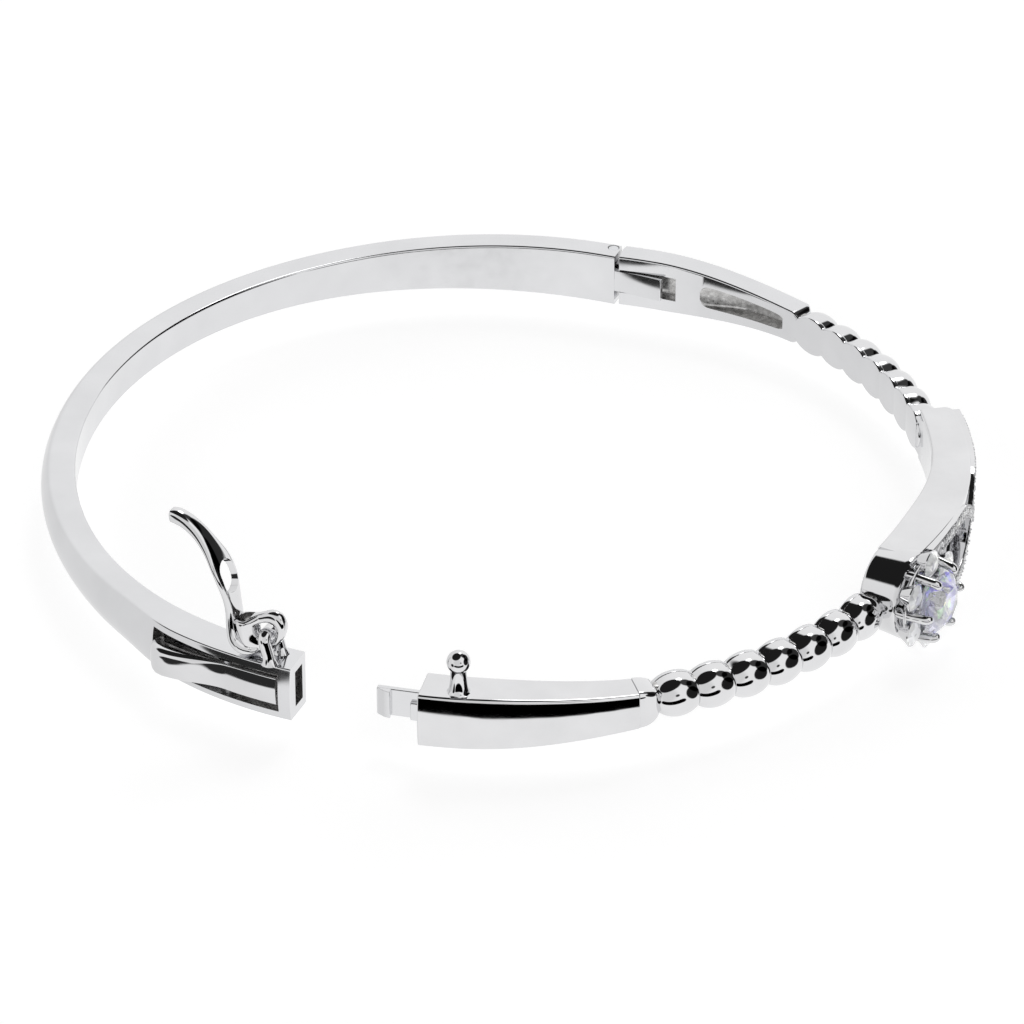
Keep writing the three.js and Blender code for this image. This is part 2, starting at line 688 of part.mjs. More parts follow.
function centreFrame() {
  const rails = [1, -1].map((sign) => sweep(front, arcsBetween(CENTRE_START, CLUSTER_ARC, 15),
    (arc) => railOutline(arc, sign)));
  const startWall = slab(front, CENTRE_START, CENTRE_START + 0.8, 1, 0.26, 2.4, -1.9, 1.9);
  const room = new THREE.CylinderGeometry(CUP_R + 0.01, CUP_R + 0.01, 6, 32).applyMatrix4(clusterFrame());
  const above = new THREE.CylinderGeometry(3.5, CUP_RIM_R, 2, 32)
    .translate(0, COLLAR_TOP + 0.97, 0).applyMatrix4(clusterFrame());
  const seats = [1, -1].flatMap((sign) => paveArcs().map((arc) => {
    const seat = new THREE.CylinderGeometry(PAVE_R + 0.02, PAVE_R + 0.02, 0.7, 8);
    return seat.applyMatrix4(frameAt(frontTable, arc, ribbonOuter(arc), ribbonZ(arc, sign)));
  }));
  const solid = join(...rails, ribbon(1), ribbon(-1), startWall, collar());
  return cut(solid, room, above, ...seats);
}

// Round stone: pavilion point inward, girdle, crown and table outward along +Y.
function roundStone(radius, sides, culet) {
  const rows = [[culet, 0.06], [-0.05, 1], [0.05, 1], [0.34, 0.56]];
  return skin(rows.map(([y, scale]) => Array.from({ length: sides }, (_, k) => {
    const a = 2 * Math.PI * k / sides;
    return [radius * scale * Math.cos(a), radius * y, radius * scale * Math.sin(a)];
  })));
}

function around(ring, index, count) {
  const a = 2 * Math.PI * index / count;
  return [ring * Math.cos(a), ring * Math.sin(a)];
}

// Claw: a round wire along the side of the cup with its tip bent over the girdle.
function claw(index) {
  const [x, z] = around(1, index, CLAWS);
  const rows = [[COLLAR_TOP + 0.02, CLAW_RING, 1], [STONE_GIRDLE - 0.15, CLAW_RING, 1],
    [STONE_GIRDLE + 0.2, CLAW_RING - 0.12, 1], [STONE_GIRDLE + 0.4, CLAW_RING - 0.3, 0.6]];
  return skin(rows.map(([y, ring, scale]) => Array.from({ length: 8 }, (_, k) => {
    const a = 2 * Math.PI * k / 8;
    return [x * ring + CLAW_R * scale * Math.cos(a), y, z * ring + CLAW_R * scale * Math.sin(a)];
  })));
}

function clusterBasket() {
  const profile = [[CUP_BORE_R, -0.2], [CUP_R, -0.2], [CUP_R, COLLAR_TOP + 0.02], [CUP_RIM_R, CUP_RIM],
    [CUP_RIM_R - 0.1, CUP_RIM + 0.12], [TOWER_R, CUP_RIM + 0.12], [TOWER_R, TOWER_TOP],
    [TOWER_BORE_R, TOWER_TOP], [TOWER_BORE_R, 2.6], [CUP_BORE_R, 2.4]];
  const closed = [...profile, profile[0]].map(([r, y]) => new THREE.Vector2(r, y));
  const cup = new THREE.LatheGeometry(closed, 30);
  const claws = Array.from({ length: CLAWS }, (_, i) => claw(i));
  const seats = Array.from({ length: CLAWS }, (_, i) => {
    const [x, z] = around(HALO_RING, i + 0.5, CLAWS);
    return new THREE.CylinderGeometry(HALO_R + 0.02, 0.45, 0.75, 12).translate(x, HALO_OFF - 0.33, z);
  });
  const girdleRoom = new THREE.CylinderGeometry(STONE_R + 0.01, STONE_R + 0.01, 0.24, 24)
    .translate(0, STONE_GIRDLE, 0);
  const crownRoom = new THREE.CylinderGeometry(STONE_R * 0.56, STONE_R, 0.66, 24)
    .translate(0, STONE_GIRDLE + 0.42, 0);
  return cut(join(cup, ...claws), ...seats, girdleRoom, crownRoom).applyMatrix4(clusterFrame());
}

function tongueHalf(arc) {
  return lerp(1.25, BAND_HEIGHT_ENDS / 2 - 0.03, smooth(arc, TONGUE_SEGMENT_START, 84) ** 0.75);
}

function tongueSegment() {
  const start = TONGUE_SEGMENT_START;
  const body = sweep(front, arcsBetween(start, TONGUE_SEGMENT_END, 16), (arc) => {
    const u = (arc - start) / (TONGUE_SEGMENT_END - start);
    return bandOutline(lerp(1.95, 2.85, smooth(u, -0.2, 1.05)), 0.16, tongueHalf(arc), 0.1);
  });
  const trim = slab(front, start - 3, start, 2, -2, 5, -4, 4);
  const socket = slab(front, TONGUE_SEGMENT_END - 1.0, TONGUE_SEGMENT_END + 1, 1, 0.73, 1.17, -1.02, 1.02);
  const endBead = bead(start + LOWER_PITCH / 2);
  const [x, y] = front(BALL_ARC, BALL_OFF, 0);
  return cut(join(body, endBead), trim, socket, upright(0.32, 1.6, x, y, 1.9, 16));
}

function ballStud() {
  const neck = 0.36;
  const top = tongueHalf(BALL_ARC);
  const foot = [[0, top - 0.65], [0.3, top - 0.65], [0.3, top], [0.6, top], [0.5, top + 0.2],
    [neck, top + 0.55]];
  const profile = foot.map(([r, z]) => new THREE.Vector2(r, z));
  const low = -Math.acos(neck / BALL_R);
  for (let i = 0; i <= 8; i += 1) {
    const a = lerp(low, Math.PI / 2, i / 8);
    profile.push(new THREE.Vector2(i === 8 ? 0 : BALL_R * Math.cos(a), BALL_Z + BALL_R * Math.sin(a)));
  }
  const [x, y] = front(BALL_ARC, BALL_OFF, 0);
  return new THREE.LatheGeometry(profile, 20).rotateX(Math.PI / 2).translate(x, y, 0);
}

// Tongue: plate with a ramped head outward at its tip and a stop block at its root.
function tongue() {
  const x0 = -HALF_CHORD;
  const plate = box(0.4, TONGUE_LENGTH + 0.95, 2, x0 - 0.95, (TONGUE_LENGTH - 0.95) / 2, 0);
  const ramp = new THREE.Shape([new THREE.Vector2(-1.1, 2.05), new THREE.Vector2(-1.52, 2.05),
    new THREE.Vector2(-1.42, 2.45), new THREE.Vector2(-1.1, TONGUE_LENGTH)]);
  const head = new THREE.ExtrudeGeometry(ramp, { depth: 2, bevelEnabled: false }).translate(x0, 0, -1);
  const stop = box(0.32, 0.6, 1.3, x0 - 1.28, 0.42, -0.35);
  return join(plate, head, stop);
}

// ---------------------------------------------------------------- assembly
const bracelet = new THREE.Group();
const backHalf = new THREE.Group();
const frontHalf = new THREE.Group();
const silver = (name, geometry) => mesh(name, geometry, SILVER);
const stone = (name, geometry) => mesh(name, geometry, STONE);

backHalf.add(silver('back_shank', backShank()));
backHalf.add(silver('hinge_pin', hingePin()));
backHalf.add(silver('press_lever', pressLever()));
backHalf.add(silver('press_lever_pin', pressPin()));
backHalf.add(silver('press_spring', pressSpring()));
backHalf.add(silver('safety_ear', earGeometry()));
backHalf.add(silver('safety_lever', safetyLever()));

frontHalf.add(silver('hinge_segment', hingeSegment()));
frontHalf.add(silver('upper_bead_strip', upperBeadStrip()));
frontHalf.add(silver('lower_bead_strip', lowerBeadStrip()));
frontHalf.add(silver('centre_frame', centreFrame()));
frontHalf.add(silver('cluster_basket', clusterBasket()));
frontHalf.add(silver('tongue_segment', tongueSegment()));
frontHalf.add(silver('ball_stud', ballStud()));
frontHalf.add(silver('tongue', tongue()));

frontHalf.add(stone('centre_stone', roundStone(STONE_R, 16, -0.86).translate(0, STONE_GIRDLE, 0)
  .applyMatrix4(clusterFrame())));
for (let i = 0; i < CLAWS; i += 1) {
  const [x, z] = around(HALO_RING, i + 0.5, CLAWS);
  frontHalf.add(stone(`halo_stone_${i + 1}`, roundStone(HALO_R, 10, -0.6).translate(x, HALO_OFF, z)
    .applyMatrix4(clusterFrame())));
}
for (const [label, sign] of [['a', 1], ['b', -1]]) {
  paveArcs().forEach((arc, i) => {
    frontHalf.add(stone(`pave_stone_${label}${i + 1}`, roundStone(PAVE_R, 8, -0.7)
      .applyMatrix4(frameAt(frontTable, arc, ribbonOuter(arc), ribbonZ(arc, sign)))));
  });
}

const pivotX = HALF_CHORD + HINGE_OFF;
const turn = new THREE.Matrix4().makeTranslation(pivotX, HINGE_ARC, 0)
  .multiply(new THREE.Matrix4().makeRotationZ(rad(OPEN_ANGLE)))
  .multiply(new THREE.Matrix4().makeTranslation(-pivotX, -HINGE_ARC, 0));
frontHalf.applyMatrix4(turn);
bracelet.add(backHalf, frontHalf);
bracelet.rotation.z = rad(CHORD_TURN);
bracelet.updateMatrixWorld(true);

const bounds = new THREE.Box3().setFromObject(bracelet, true);
const root = new THREE.Group();
root.position.set(-(bounds.min.x + bounds.max.x) / 2, -(bounds.min.y + bounds.max.y) / 2, -bounds.min.z);
root.add(bracelet);

export default root;
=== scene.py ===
"""Hinged bangle bracelet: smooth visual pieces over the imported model, in metres.

Lengths below are millimetres and are turned into metres when a mesh is made. A place on the band is
an arc length along the inner face measured from the hinge seam, an offset outward from that face and
a height above the middle plane of the band.
"""
import bisect
import math
import random

import bmesh
import bpy
from mathutils import Matrix, Vector


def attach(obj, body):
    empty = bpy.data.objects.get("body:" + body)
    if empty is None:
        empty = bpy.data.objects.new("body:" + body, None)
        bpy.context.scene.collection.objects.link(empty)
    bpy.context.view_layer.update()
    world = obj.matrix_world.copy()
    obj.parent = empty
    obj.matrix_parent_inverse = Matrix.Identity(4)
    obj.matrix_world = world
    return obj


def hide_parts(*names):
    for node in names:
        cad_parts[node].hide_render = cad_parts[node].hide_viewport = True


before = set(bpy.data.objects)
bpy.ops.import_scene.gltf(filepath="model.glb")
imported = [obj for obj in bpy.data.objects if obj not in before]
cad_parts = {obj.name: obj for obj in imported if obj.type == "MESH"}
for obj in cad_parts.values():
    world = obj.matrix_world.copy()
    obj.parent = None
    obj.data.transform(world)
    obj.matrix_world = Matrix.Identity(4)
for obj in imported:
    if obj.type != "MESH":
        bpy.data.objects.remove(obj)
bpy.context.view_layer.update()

MM = 0.001

# ---------- dimensions shared with the model
HALF_CHORD = 28.0
BACK_DEPTH = 26.9
BACK_SKEW = 0.038
FRONT_DEPTH = 27.2
OPEN_ANGLE = 8.04
CHORD_TURN = 68.5
ROOT_SHIFT = (-2.670782, 0.779581, 3.454972)

BAND_HEIGHT_ENDS = 3.9
BAND_HEIGHT_BACK = 2.42
BAND_THICK = 1.87
BACK_DOME = 0.5
BOX_THICK = 2.42
BOX_DOME = 0.18
BOX_START = 72.0
BOX_END = 86.1

SEAM_GAP = 0.15
HINGE_ARC = 0.55
HINGE_OFF = 1.3
HINGE_X = HALF_CHORD + HINGE_OFF
HINGE_HOLE_R = 0.33
KNUCKLE_R = 0.62
KNUCKLE_HALF = 0.8
KNUCKLE_SLOT_HALF = 0.88
LEAF_THICK = 0.42
LEAF_HALF = 0.83
LEAF_LENGTH = 3.6
LEAF_SLOT_HALF = 0.92
LEAF_SLOT_LENGTH = 4.4

HINGE_SEGMENT_END = 14.8
BEADS = 7
UPPER_PITCH = 2.35
LOWER_PITCH = 2.5
BEAD_HALF_LENGTH = 1.755
BEAD_BARREL = 0.9
BEAD_DOME = 1.25
CENTRE_START = HINGE_SEGMENT_END + BEADS * UPPER_PITCH
CENTRE_END = 54.4
TONGUE_SEGMENT_START = CENTRE_END + BEADS * LOWER_PITCH
TONGUE_SEGMENT_END = 86.6
CENTRE_HALF_START = 2.0

CLUSTER_ARC = 51.5
CLUSTER_Z = 0.1
COLLAR_R = 2.8
COLLAR_TOP_R = 3.05
COLLAR_LOW = -0.35
COLLAR_TOP = 2.45
CUP_R = 2.5
CUP_RIM_R = 3.0
CUP_RIM = 3.1
STONE_R = 2.1
STONE_GIRDLE = 4.3
CLAWS = 6
CLAW_RING = 2.5
HALO_R = 0.92
HALO_RING = 2.68
HALO_OFF = 3.5
RIBBON_OFF = 3.0

BOX_FLOOR = 0.5
CAVITY_HALF = 1.3
WINDOW_START = 76.1
WINDOW_END = 85.35
WINDOW_HALF = 1.4
PRESS_PIVOT_ARC = 81.4
PRESS_PIVOT_OFF = 1.62
PRESS_HALF = 1.02
PRESS_THUMB = 76.35
PRESS_TIP = 85.15

TONGUE_LENGTH = 3.0
BALL_R = 0.78
BALL_ARC = 84.3
BALL_OFF = 1.84
BALL_Z = 4.15
EAR_ARC = 84.36
SAFETY_PIVOT_Z = 3.95
SAFETY_OFF = 1.5

# ---------- dimensions of the visible shapes only
POCKET_START = 6.3
POCKET_END = 13.3
EAR_LEG = 0.78
EAR_BAR_R = 0.34
EAR_CORNER = 0.42
EAR_LEAN = 0.4
TONGUE_END_BEAD = 1.5
STUD_NECK_R = 0.54
RIBBON_END = 50.2
SHEET_END = 38.5
PAVE_FIRST = CENTRE_START + 0.75
PAVE_LAST = 48.3
PAVE_PITCH = 0.6
FLOOR_REACH = 3000.0


# ---------- numbers
def lerp(a, b, t):
    return a + (b - a) * t


def smooth(value, low, high):
    t = min(1.0, max(0.0, (value - low) / (high - low)))
    return t * t * (3 - 2 * t)


def between(start, end, count):
    return [lerp(start, end, i / count) for i in range(count + 1)]


# ---------- the plan curve
def plan_xy(theta):
    depth = BACK_DEPTH * (1 + BACK_SKEW * math.cos(theta)) if theta >= 0 else FRONT_DEPTH
    return HALF_CHORD * math.cos(theta), depth * math.sin(theta)


def plan_normal(theta):
    x0, y0 = plan_xy(theta - 1e-4)
    x1, y1 = plan_xy(theta + 1e-4)
    length = math.hypot(x1 - x0, y1 - y0)
    return (y1 - y0) / length, (x0 - x1) / length


class Path:
    """One half of the plan curve, read by arc length."""

    STEPS = 1440

    def __init__(self, sign):
        self.arcs = [0.0]
        self.thetas = [0.0]
        last = plan_xy(0)
        for i in range(1, self.STEPS + 1):
            theta = sign * math.pi * i / self.STEPS
            here = plan_xy(theta)
            self.arcs.append(self.arcs[-1] + math.hypot(here[0] - last[0], here[1] - last[1]))
            self.thetas.append(theta)
            last = here

    def theta(self, arc):
        if arc <= 0:
            return self.thetas[1] * arc / self.arcs[1]
        i = min(bisect.bisect_left(self.arcs, arc), self.STEPS)
        t = (arc - self.arcs[i - 1]) / (self.arcs[i] - self.arcs[i - 1])
        return lerp(self.thetas[i - 1], self.thetas[i], t)

    def point(self, arc, off, z):
        theta = self.theta(arc)
        x, y = plan_xy(theta)
        nx, ny = plan_normal(theta)
        return Vector((x + off * nx, y + off * ny, z))

    def frame(self, arc, off, z):
        """Local frame on the band: x clockwise along it, y outward, z up."""
        nx, ny = plan_normal(self.theta(arc))
        origin = self.point(arc, off, z)
        return Matrix(((ny, nx, 0, origin.x), (-nx, ny, 0, origin.y), (0, 0, 1, origin.z), (0, 0, 0, 1)))


back = Path(1)
front = Path(-1)

turn_whole = Matrix.Translation(ROOT_SHIFT) @ Matrix.Rotation(math.radians(CHORD_TURN), 4, "Z")
hinge_point = Vector((HINGE_X, HINGE_ARC, 0))
turn_open = (Matrix.Translation(hinge_point) @ Matrix.Rotation(math.radians(OPEN_ANGLE), 4, "Z")
             @ Matrix.Translation(-hinge_point))
BACK = turn_whole
FRONT = turn_whole @ turn_open


# ---------- outlines and meshes
def soften(corners, radius, steps=4):
    """Round the corners of a closed outline; radius is one number or one per corner."""
    radii = radius if isinstance(radius, (list, tuple)) else [radius] * len(corners)
    out = []
    for i, (x, y) in enumerate(corners):
        if radii[i] <= 0:
            out.append((x, y))
            continue
        ends = []
        for other in (corners[i - 1], corners[(i + 1) % len(corners)]):
            gap = math.hypot(other[0] - x, other[1] - y)
            t = min(radii[i] / gap, 0.46)
            ends.append((lerp(x, other[0], t), lerp(y, other[1], t)))
        for k in range(steps + 1):
            t = k / steps
            a, b = ends
            out.append(tuple((1 - t) ** 2 * p + 2 * t * (1 - t) * c + t * t * q
                             for p, c, q in zip(a, (x, y), b)))
    return out


def loft(rings, closed=False):
    """Vertices and faces of a skin through matching rings, capped unless it closes on itself."""
    n = len(rings[0])
    count = len(rings)
    faces = []
    for i in range(count if closed else count - 1):
        low = i * n
        high = ((i + 1) % count) * n
        for j in range(n):
            k = (j + 1) % n
            faces.append((low + j, low + k, high + k, high + j))
    if not closed:
        faces.append(tuple(reversed(range(n))))
        faces.append(tuple(range((count - 1) * n, count * n)))
    return [Vector(p) for ring in rings for p in ring], faces


def sweep(path, arcs, outline):
    return loft([[path.point(arc, off, z) for off, z in outline(arc)] for arc in arcs])


def slab(path, start, end, off0, off1, z0, z1, count=8):
    corners = [(off0, z0), (off1, z0), (off1, z1), (off0, z1)]
    return sweep(path, between(start, end, count), lambda arc: corners)


def lathe(profile, sides=48, closed=False):
    """Solid turned about the local y axis; profile is a list of (radius, y)."""
    rings = [[(r * math.cos(2 * math.pi * k / sides), y, r * math.sin(2 * math.pi * k / sides))
              for k in range(sides)] for r, y in profile]
    return loft(rings, closed)


def ring_lathe(profile, sides=48):
    """Turned ring whose profile closes on itself."""
    return lathe(profile, sides, closed=True)


def moved(shape, matrix):
    points, faces = shape
    return [matrix @ Vector(p) for p in points], faces


def merged(shapes):
    points = []
    faces = []
    for some_points, some_faces in shapes:
        base = len(points)
        points.extend(some_points)
        faces.extend(tuple(i + base for i in face) for face in some_faces)
    return points, faces


def tube(path, radii, sides=20, flat=(1.0, 1.0), side=Vector((0, 1, 0))):
    """Round bar through path; side fixes the cross direction that flat[0] scales."""
    rings = []
    for i, centre in enumerate(path):
        tangent = (path[min(i + 1, len(path) - 1)] - path[max(i - 1, 0)]).normalized()
        across = (side - tangent * side.dot(tangent)).normalized()
        up = across.cross(tangent)
        rings.append([centre + across * radii[i] * flat[0] * math.cos(2 * math.pi * k / sides)
                      + up * radii[i] * flat[1] * math.sin(2 * math.pi * k / sides) for k in range(sides)])
    return loft(rings)


def spline_point(corners, t):
    """Point between the middle two of four corners, which are tuples of any length."""
    return tuple(0.5 * (2 * b + (c - a) * t + (2 * a - 5 * b + 4 * c - d) * t * t
                        + (3 * b - a - 3 * c + d) * t ** 3)
                 for a, b, c, d in zip(*corners))


def catmull(points, count):
    """Evenly stepped smooth curve through points."""
    out = []
    last = len(points) - 1
    for i in range(count + 1):
        u = i / count * last
        k = min(last - 1, int(u))
        corners = [points[min(last, max(0, k + d))] for d in (-1, 0, 1, 2)]
        out.append(spline_point(corners, u - k))
    return out


def catmull_loop(points, count):
    """The same curve, closed."""
    out = []
    total = len(points)
    for i in range(count):
        u = i / count * total
        k = int(u)
        out.append(spline_point([points[(k + d) % total] for d in (-1, 0, 1, 2)], u - k))
    return out


def rounded_block(x0, x1, y0, y1, z0, z1, radius=0.08):
    """Box with rounded edges along x."""
    outline = soften([(y0, z0), (y1, z0), (y1, z1), (y0, z1)], radius, 3)
    inset = soften([(y0 + radius / 2, z0 + radius / 2), (y1 - radius / 2, z0 + radius / 2),
                    (y1 - radius / 2, z1 - radius / 2), (y0 + radius / 2, z1 - radius / 2)], radius, 3)
    rows = [(x0, inset), (x0 + radius / 2, outline), (x1 - radius / 2, outline), (x1, inset)]
    return loft([[(x, y, z) for y, z in ring] for x, ring in rows])


def make_object(name, shape, half, materials):
    points, faces = shape
    mesh = bpy.data.meshes.new(name)
    mesh.from_pydata([tuple((half @ Vector(p)) * MM) for p in points], [], faces)
    mesh.validate()
    for material in materials:
        mesh.materials.append(material)
    obj = bpy.data.objects.new(name, mesh)
    bpy.context.scene.collection.objects.link(obj)
    recalculate(mesh)
    return obj


def recalculate(mesh):
    """Turn every closed shell's faces outward."""
    work = bmesh.new()
    work.from_mesh(mesh)
    bmesh.ops.recalc_face_normals(work, faces=work.faces)
    work.to_mesh(mesh)
    work.free()


def shade(obj, angle=32):
    obj.data.shade_smooth()
    obj.data.set_sharp_from_angle(angle=math.radians(angle))


def bake(obj):
    """Replace an object's mesh with the result of its modifiers."""
    depsgraph = bpy.context.evaluated_depsgraph_get()
    mesh = bpy.data.meshes.new_from_object(obj.evaluated_get(depsgraph))
    obj.modifiers.clear()
    obj.data = mesh


def carve(obj, shapes, half, operation="DIFFERENCE"):
    """Cut shapes out of an object; the cut walls take its second material."""
    for shape in shapes:
        cutter = make_object("cutter", shape, half, list(obj.data.materials))
        if operation == "DIFFERENCE" and len(obj.data.materials) > 1:
            for polygon in cutter.data.polygons:
                polygon.material_index = 1
        modifier = obj.modifiers.new("carve", "BOOLEAN")
        modifier.object = cutter
        modifier.operation = operation
        modifier.solver = "EXACT"
        bake(obj)
        bpy.data.objects.remove(cutter)


def ease_edges(obj, width, segments=2, angle=34):
    """Small rounded edges that catch the light."""
    modifier = obj.modifiers.new("ease_edges", "BEVEL")
    modifier.width = width * MM
    modifier.segments = segments
    modifier.limit_method = "ANGLE"
    modifier.angle_limit = math.radians(angle)
    modifier.use_clamp_overlap = True
    modifier.miter_outer = "MITER_ARC"
    weighted = obj.modifiers.new("weighted", "WEIGHTED_NORMAL")
    weighted.keep_sharp = True


def settle(obj, body, slot, *nodes):
    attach(obj, body)
    if nodes:
        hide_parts(*nodes)
    return obj


# ---------- materials
class Nodes:
    """A small writer for one material's node tree."""

    def __init__(self, name):
        self.material = bpy.data.materials.new(name)
        self.material.use_nodes = True
        self.tree = self.material.node_tree
        self.shader = self.tree.nodes["Principled BSDF"]
        self.coordinates = self.tree.nodes.new("ShaderNodeTexCoord").outputs["Object"]

    def stretched(self, scale):
        mapping = self.tree.nodes.new("ShaderNodeMapping")
        mapping.inputs["Scale"].default_value = scale
        self.link(self.coordinates, mapping.inputs["Vector"])
        return mapping.outputs["Vector"]

    def noise(self, scale, detail=2.0, vector=None, roughness=0.55):
        node = self.tree.nodes.new("ShaderNodeTexNoise")
        node.inputs["Scale"].default_value = scale
        node.inputs["Detail"].default_value = detail
        node.inputs["Roughness"].default_value = roughness
        self.link(vector or self.coordinates, node.inputs["Vector"])
        return node.outputs["Fac"]

    def voronoi(self, scale, output="Distance"):
        node = self.tree.nodes.new("ShaderNodeTexVoronoi")
        node.inputs["Scale"].default_value = scale
        self.link(self.coordinates, node.inputs["Vector"])
        return node.outputs[output]

    def ramp(self, value, stops, blend="LINEAR"):
        node = self.tree.nodes.new("ShaderNodeValToRGB")
        node.color_ramp.interpolation = blend
        elements = node.color_ramp.elements
        while len(elements) < len(stops):
            elements.new(0.5)
        for element, (position, colour) in zip(elements, stops):
            element.position = position
            element.color = (*colour, 1) if len(colour) == 3 else colour
        self.link(value, node.inputs["Fac"])
        return node.outputs["Color"]

    def span(self, value, low, high, from_low=0.0, from_high=1.0):
        node = self.tree.nodes.new("ShaderNodeMapRange")
        node.inputs["From Min"].default_value = from_low
        node.inputs["From Max"].default_value = from_high
        node.inputs["To Min"].default_value = low
        node.inputs["To Max"].default_value = high
        self.link(value, node.inputs["Value"])
        return node.outputs["Result"]

    def bump(self, height, strength, distance, before=None):
        node = self.tree.nodes.new("ShaderNodeBump")
        node.inputs["Strength"].default_value = strength
        node.inputs["Distance"].default_value = distance
        self.link(height, node.inputs["Height"])
        if before:
            self.link(before, node.inputs["Normal"])
        return node.outputs["Normal"]

    def link(self, output, target):
        self.tree.links.new(output, target)

    def feed(self, name, output):
        self.link(output, self.shader.inputs[name])

    def fix(self, **values):
        for name, value in values.items():
            self.shader.inputs[name.replace("_", " ")].default_value = value


def silver(name, light, dark, rough_low, rough_high, wave=0.00002, scratch=0.06):
    """Rhodium-plated silver: slow waviness from hand polishing, hairlines and a patchy gloss."""
    nodes = Nodes(name)
    nodes.feed("Base Color", nodes.ramp(nodes.noise(260, 3), [(0.3, dark), (0.7, light)]))
    nodes.feed("Roughness", nodes.span(nodes.noise(900, 4), rough_low, rough_high, 0.3, 0.7))
    hairlines = nodes.noise(1.0, 2, nodes.stretched((1500, 9000, 2600)))
    slow = nodes.bump(nodes.noise(330, 1), 1.0, wave)
    nodes.feed("Normal", nodes.bump(hairlines, scratch, 0.000004, slow))
    nodes.fix(Metallic=1.0)
    return nodes.material


def grain_and_shade_silver(name, base, shadow, scale, rough, depth):
    """Cast or drilled metal: pits and grains too small to model, with painted shade darkening the pits."""
    nodes = Nodes(name)
    cells = nodes.voronoi(scale)
    # The dark end of this ramp is painted shade in the pits between the grains.
    nodes.feed("Base Color", nodes.ramp(cells, [(0.1, base), (0.75, shadow)]))
    nodes.feed("Roughness", nodes.span(nodes.noise(scale * 2, 3), rough * 0.7, rough * 1.3, 0.3, 0.7))
    nodes.feed("Normal", nodes.bump(cells, 0.7, depth))
    nodes.fix(Metallic=1.0)
    return nodes.material


def crystal(name, fire_tint_stops, fire_glow_stops, cell_scale, transmission, glow):
    """Clear stone; a cell pattern paints tints and a faint glow that stand in for spectral fire: painted
    coloured light.
    """
    nodes = Nodes(name)
    cells = nodes.span(nodes.voronoi(cell_scale, "Color"), 0, 1)
    # Painted light: the tinted cells and the emitted colours stand in for spectral fire.
    nodes.feed("Base Color", nodes.ramp(cells, fire_tint_stops, "CONSTANT"))
    nodes.feed("Emission Color", nodes.ramp(cells, fire_glow_stops, "CONSTANT"))
    nodes.feed("Roughness", nodes.span(nodes.noise(cell_scale * 3, 2), 0.0, 0.03))
    nodes.feed("Normal", nodes.bump(nodes.voronoi(cell_scale * 1.7), 0.35, 0.00002))
    nodes.fix(Transmission_Weight=transmission, IOR=2.15, Coat_Weight=0.3, Coat_Roughness=0.01,
              Emission_Strength=glow)
    return nodes.material


polished = silver("silver_polished", (0.775, 0.775, 0.785), (0.72, 0.72, 0.73), 0.03, 0.07)
satin = silver("silver_band", (0.76, 0.762, 0.775), (0.715, 0.717, 0.73), 0.06, 0.12, 0.00001)
# Painted shade: these darker grainy materials go on the bead grooves, the cut walls and the pavé bed.
cast_grain_and_shade = grain_and_shade_silver("silver_groove", (0.72, 0.715, 0.71), (0.42, 0.415, 0.41), 3200, 0.3, 0.00002)
recess = grain_and_shade_silver("silver_recess", (0.74, 0.735, 0.73), (0.5, 0.495, 0.49), 2600, 0.3, 0.000012)
pave_ground = grain_and_shade_silver("silver_pave_ground", (0.8, 0.8, 0.81), (0.22, 0.22, 0.23), 2200, 0.22, 0.00006)
steel = silver("spring_steel", (0.8, 0.81, 0.83), (0.68, 0.69, 0.71), 0.18, 0.28)
WHITE = (1.0, 1.0, 1.0)
BLACK = (0.0, 0.0, 0.0)
# Painted light: tints and glowing glints stand in for the sparkle and spectral fire of the stones.
small_fire_tints = [(0.0, (0.9, 0.91, 0.93)), (0.5, WHITE), (0.8, (0.96, 0.95, 0.92))]
small_glints = [(0.0, (0.3, 0.3, 0.3)), (0.42, BLACK), (0.6, (0.55, 0.55, 0.52)), (0.68, BLACK)]
centre_fire_tints = [
    (0.0, WHITE), (0.28, (0.85, 0.95, 0.85)), (0.34, WHITE), (0.5, (0.78, 0.76, 1.0)), (0.56, WHITE),
    (0.66, (1.0, 0.97, 0.8)), (0.7, WHITE),
]
centre_glints = [
    (0.0, BLACK), (0.3, (0.25, 0.6, 0.2)), (0.33, BLACK), (0.5, (0.2, 0.15, 0.9)), (0.54, BLACK),
    (0.6, WHITE), (0.63, BLACK), (0.68, (0.9, 0.75, 0.2)), (0.7, BLACK),
]
# Both stone materials glow though no lamp is in them: painted glints and fire.
clear = crystal("stone_small", small_fire_tints, small_glints, 1700, 0.6, 0.6)
fire = crystal("stone_centre", centre_fire_tints, centre_glints, 1300, 0.8, 0.25)


# ---------- back half
def band_outline(thick, dome, half, inner_round=0.17, outer_round=0.24, dome_steps=10):
    outer = [(thick + dome * (1 - t * t), t * half) for t in between(-1, 1, dome_steps)]
    corners = [(0, -half), *outer, (0, half)]
    radii = [inner_round, outer_round, *[0] * (dome_steps - 1), outer_round, inner_round]
    return soften(corners, radii)


def back_half_height(arc):
    c = abs(math.cos(back.theta(arc)))
    return lerp(BAND_HEIGHT_BACK, BAND_HEIGHT_ENDS, c ** 3.7) / 2


def back_outline(arc):
    grow = smooth(arc, BOX_START, BOX_START + 6)
    crisp = lerp(1.0, 0.45, smooth(arc, 74, 80))
    return band_outline(lerp(BAND_THICK, BOX_THICK, grow), lerp(BACK_DOME, BOX_DOME, grow),
                        back_half_height(arc), 0.17 * crisp, 0.24 * crisp)


def upright(radius, height, x, y, z, sides=32):
    points, faces = lathe([(radius, -height / 2), (radius, height / 2)], sides)
    return moved((points, faces), Matrix.Translation((x, y, z)) @ Matrix.Rotation(math.pi / 2, 4, "X"))


def block(x0, x1, y0, y1, z0, z1):
    return loft([[(x, y0, z0), (x, y1, z0), (x, y1, z1), (x, y0, z1)] for x in (x0, x1)])


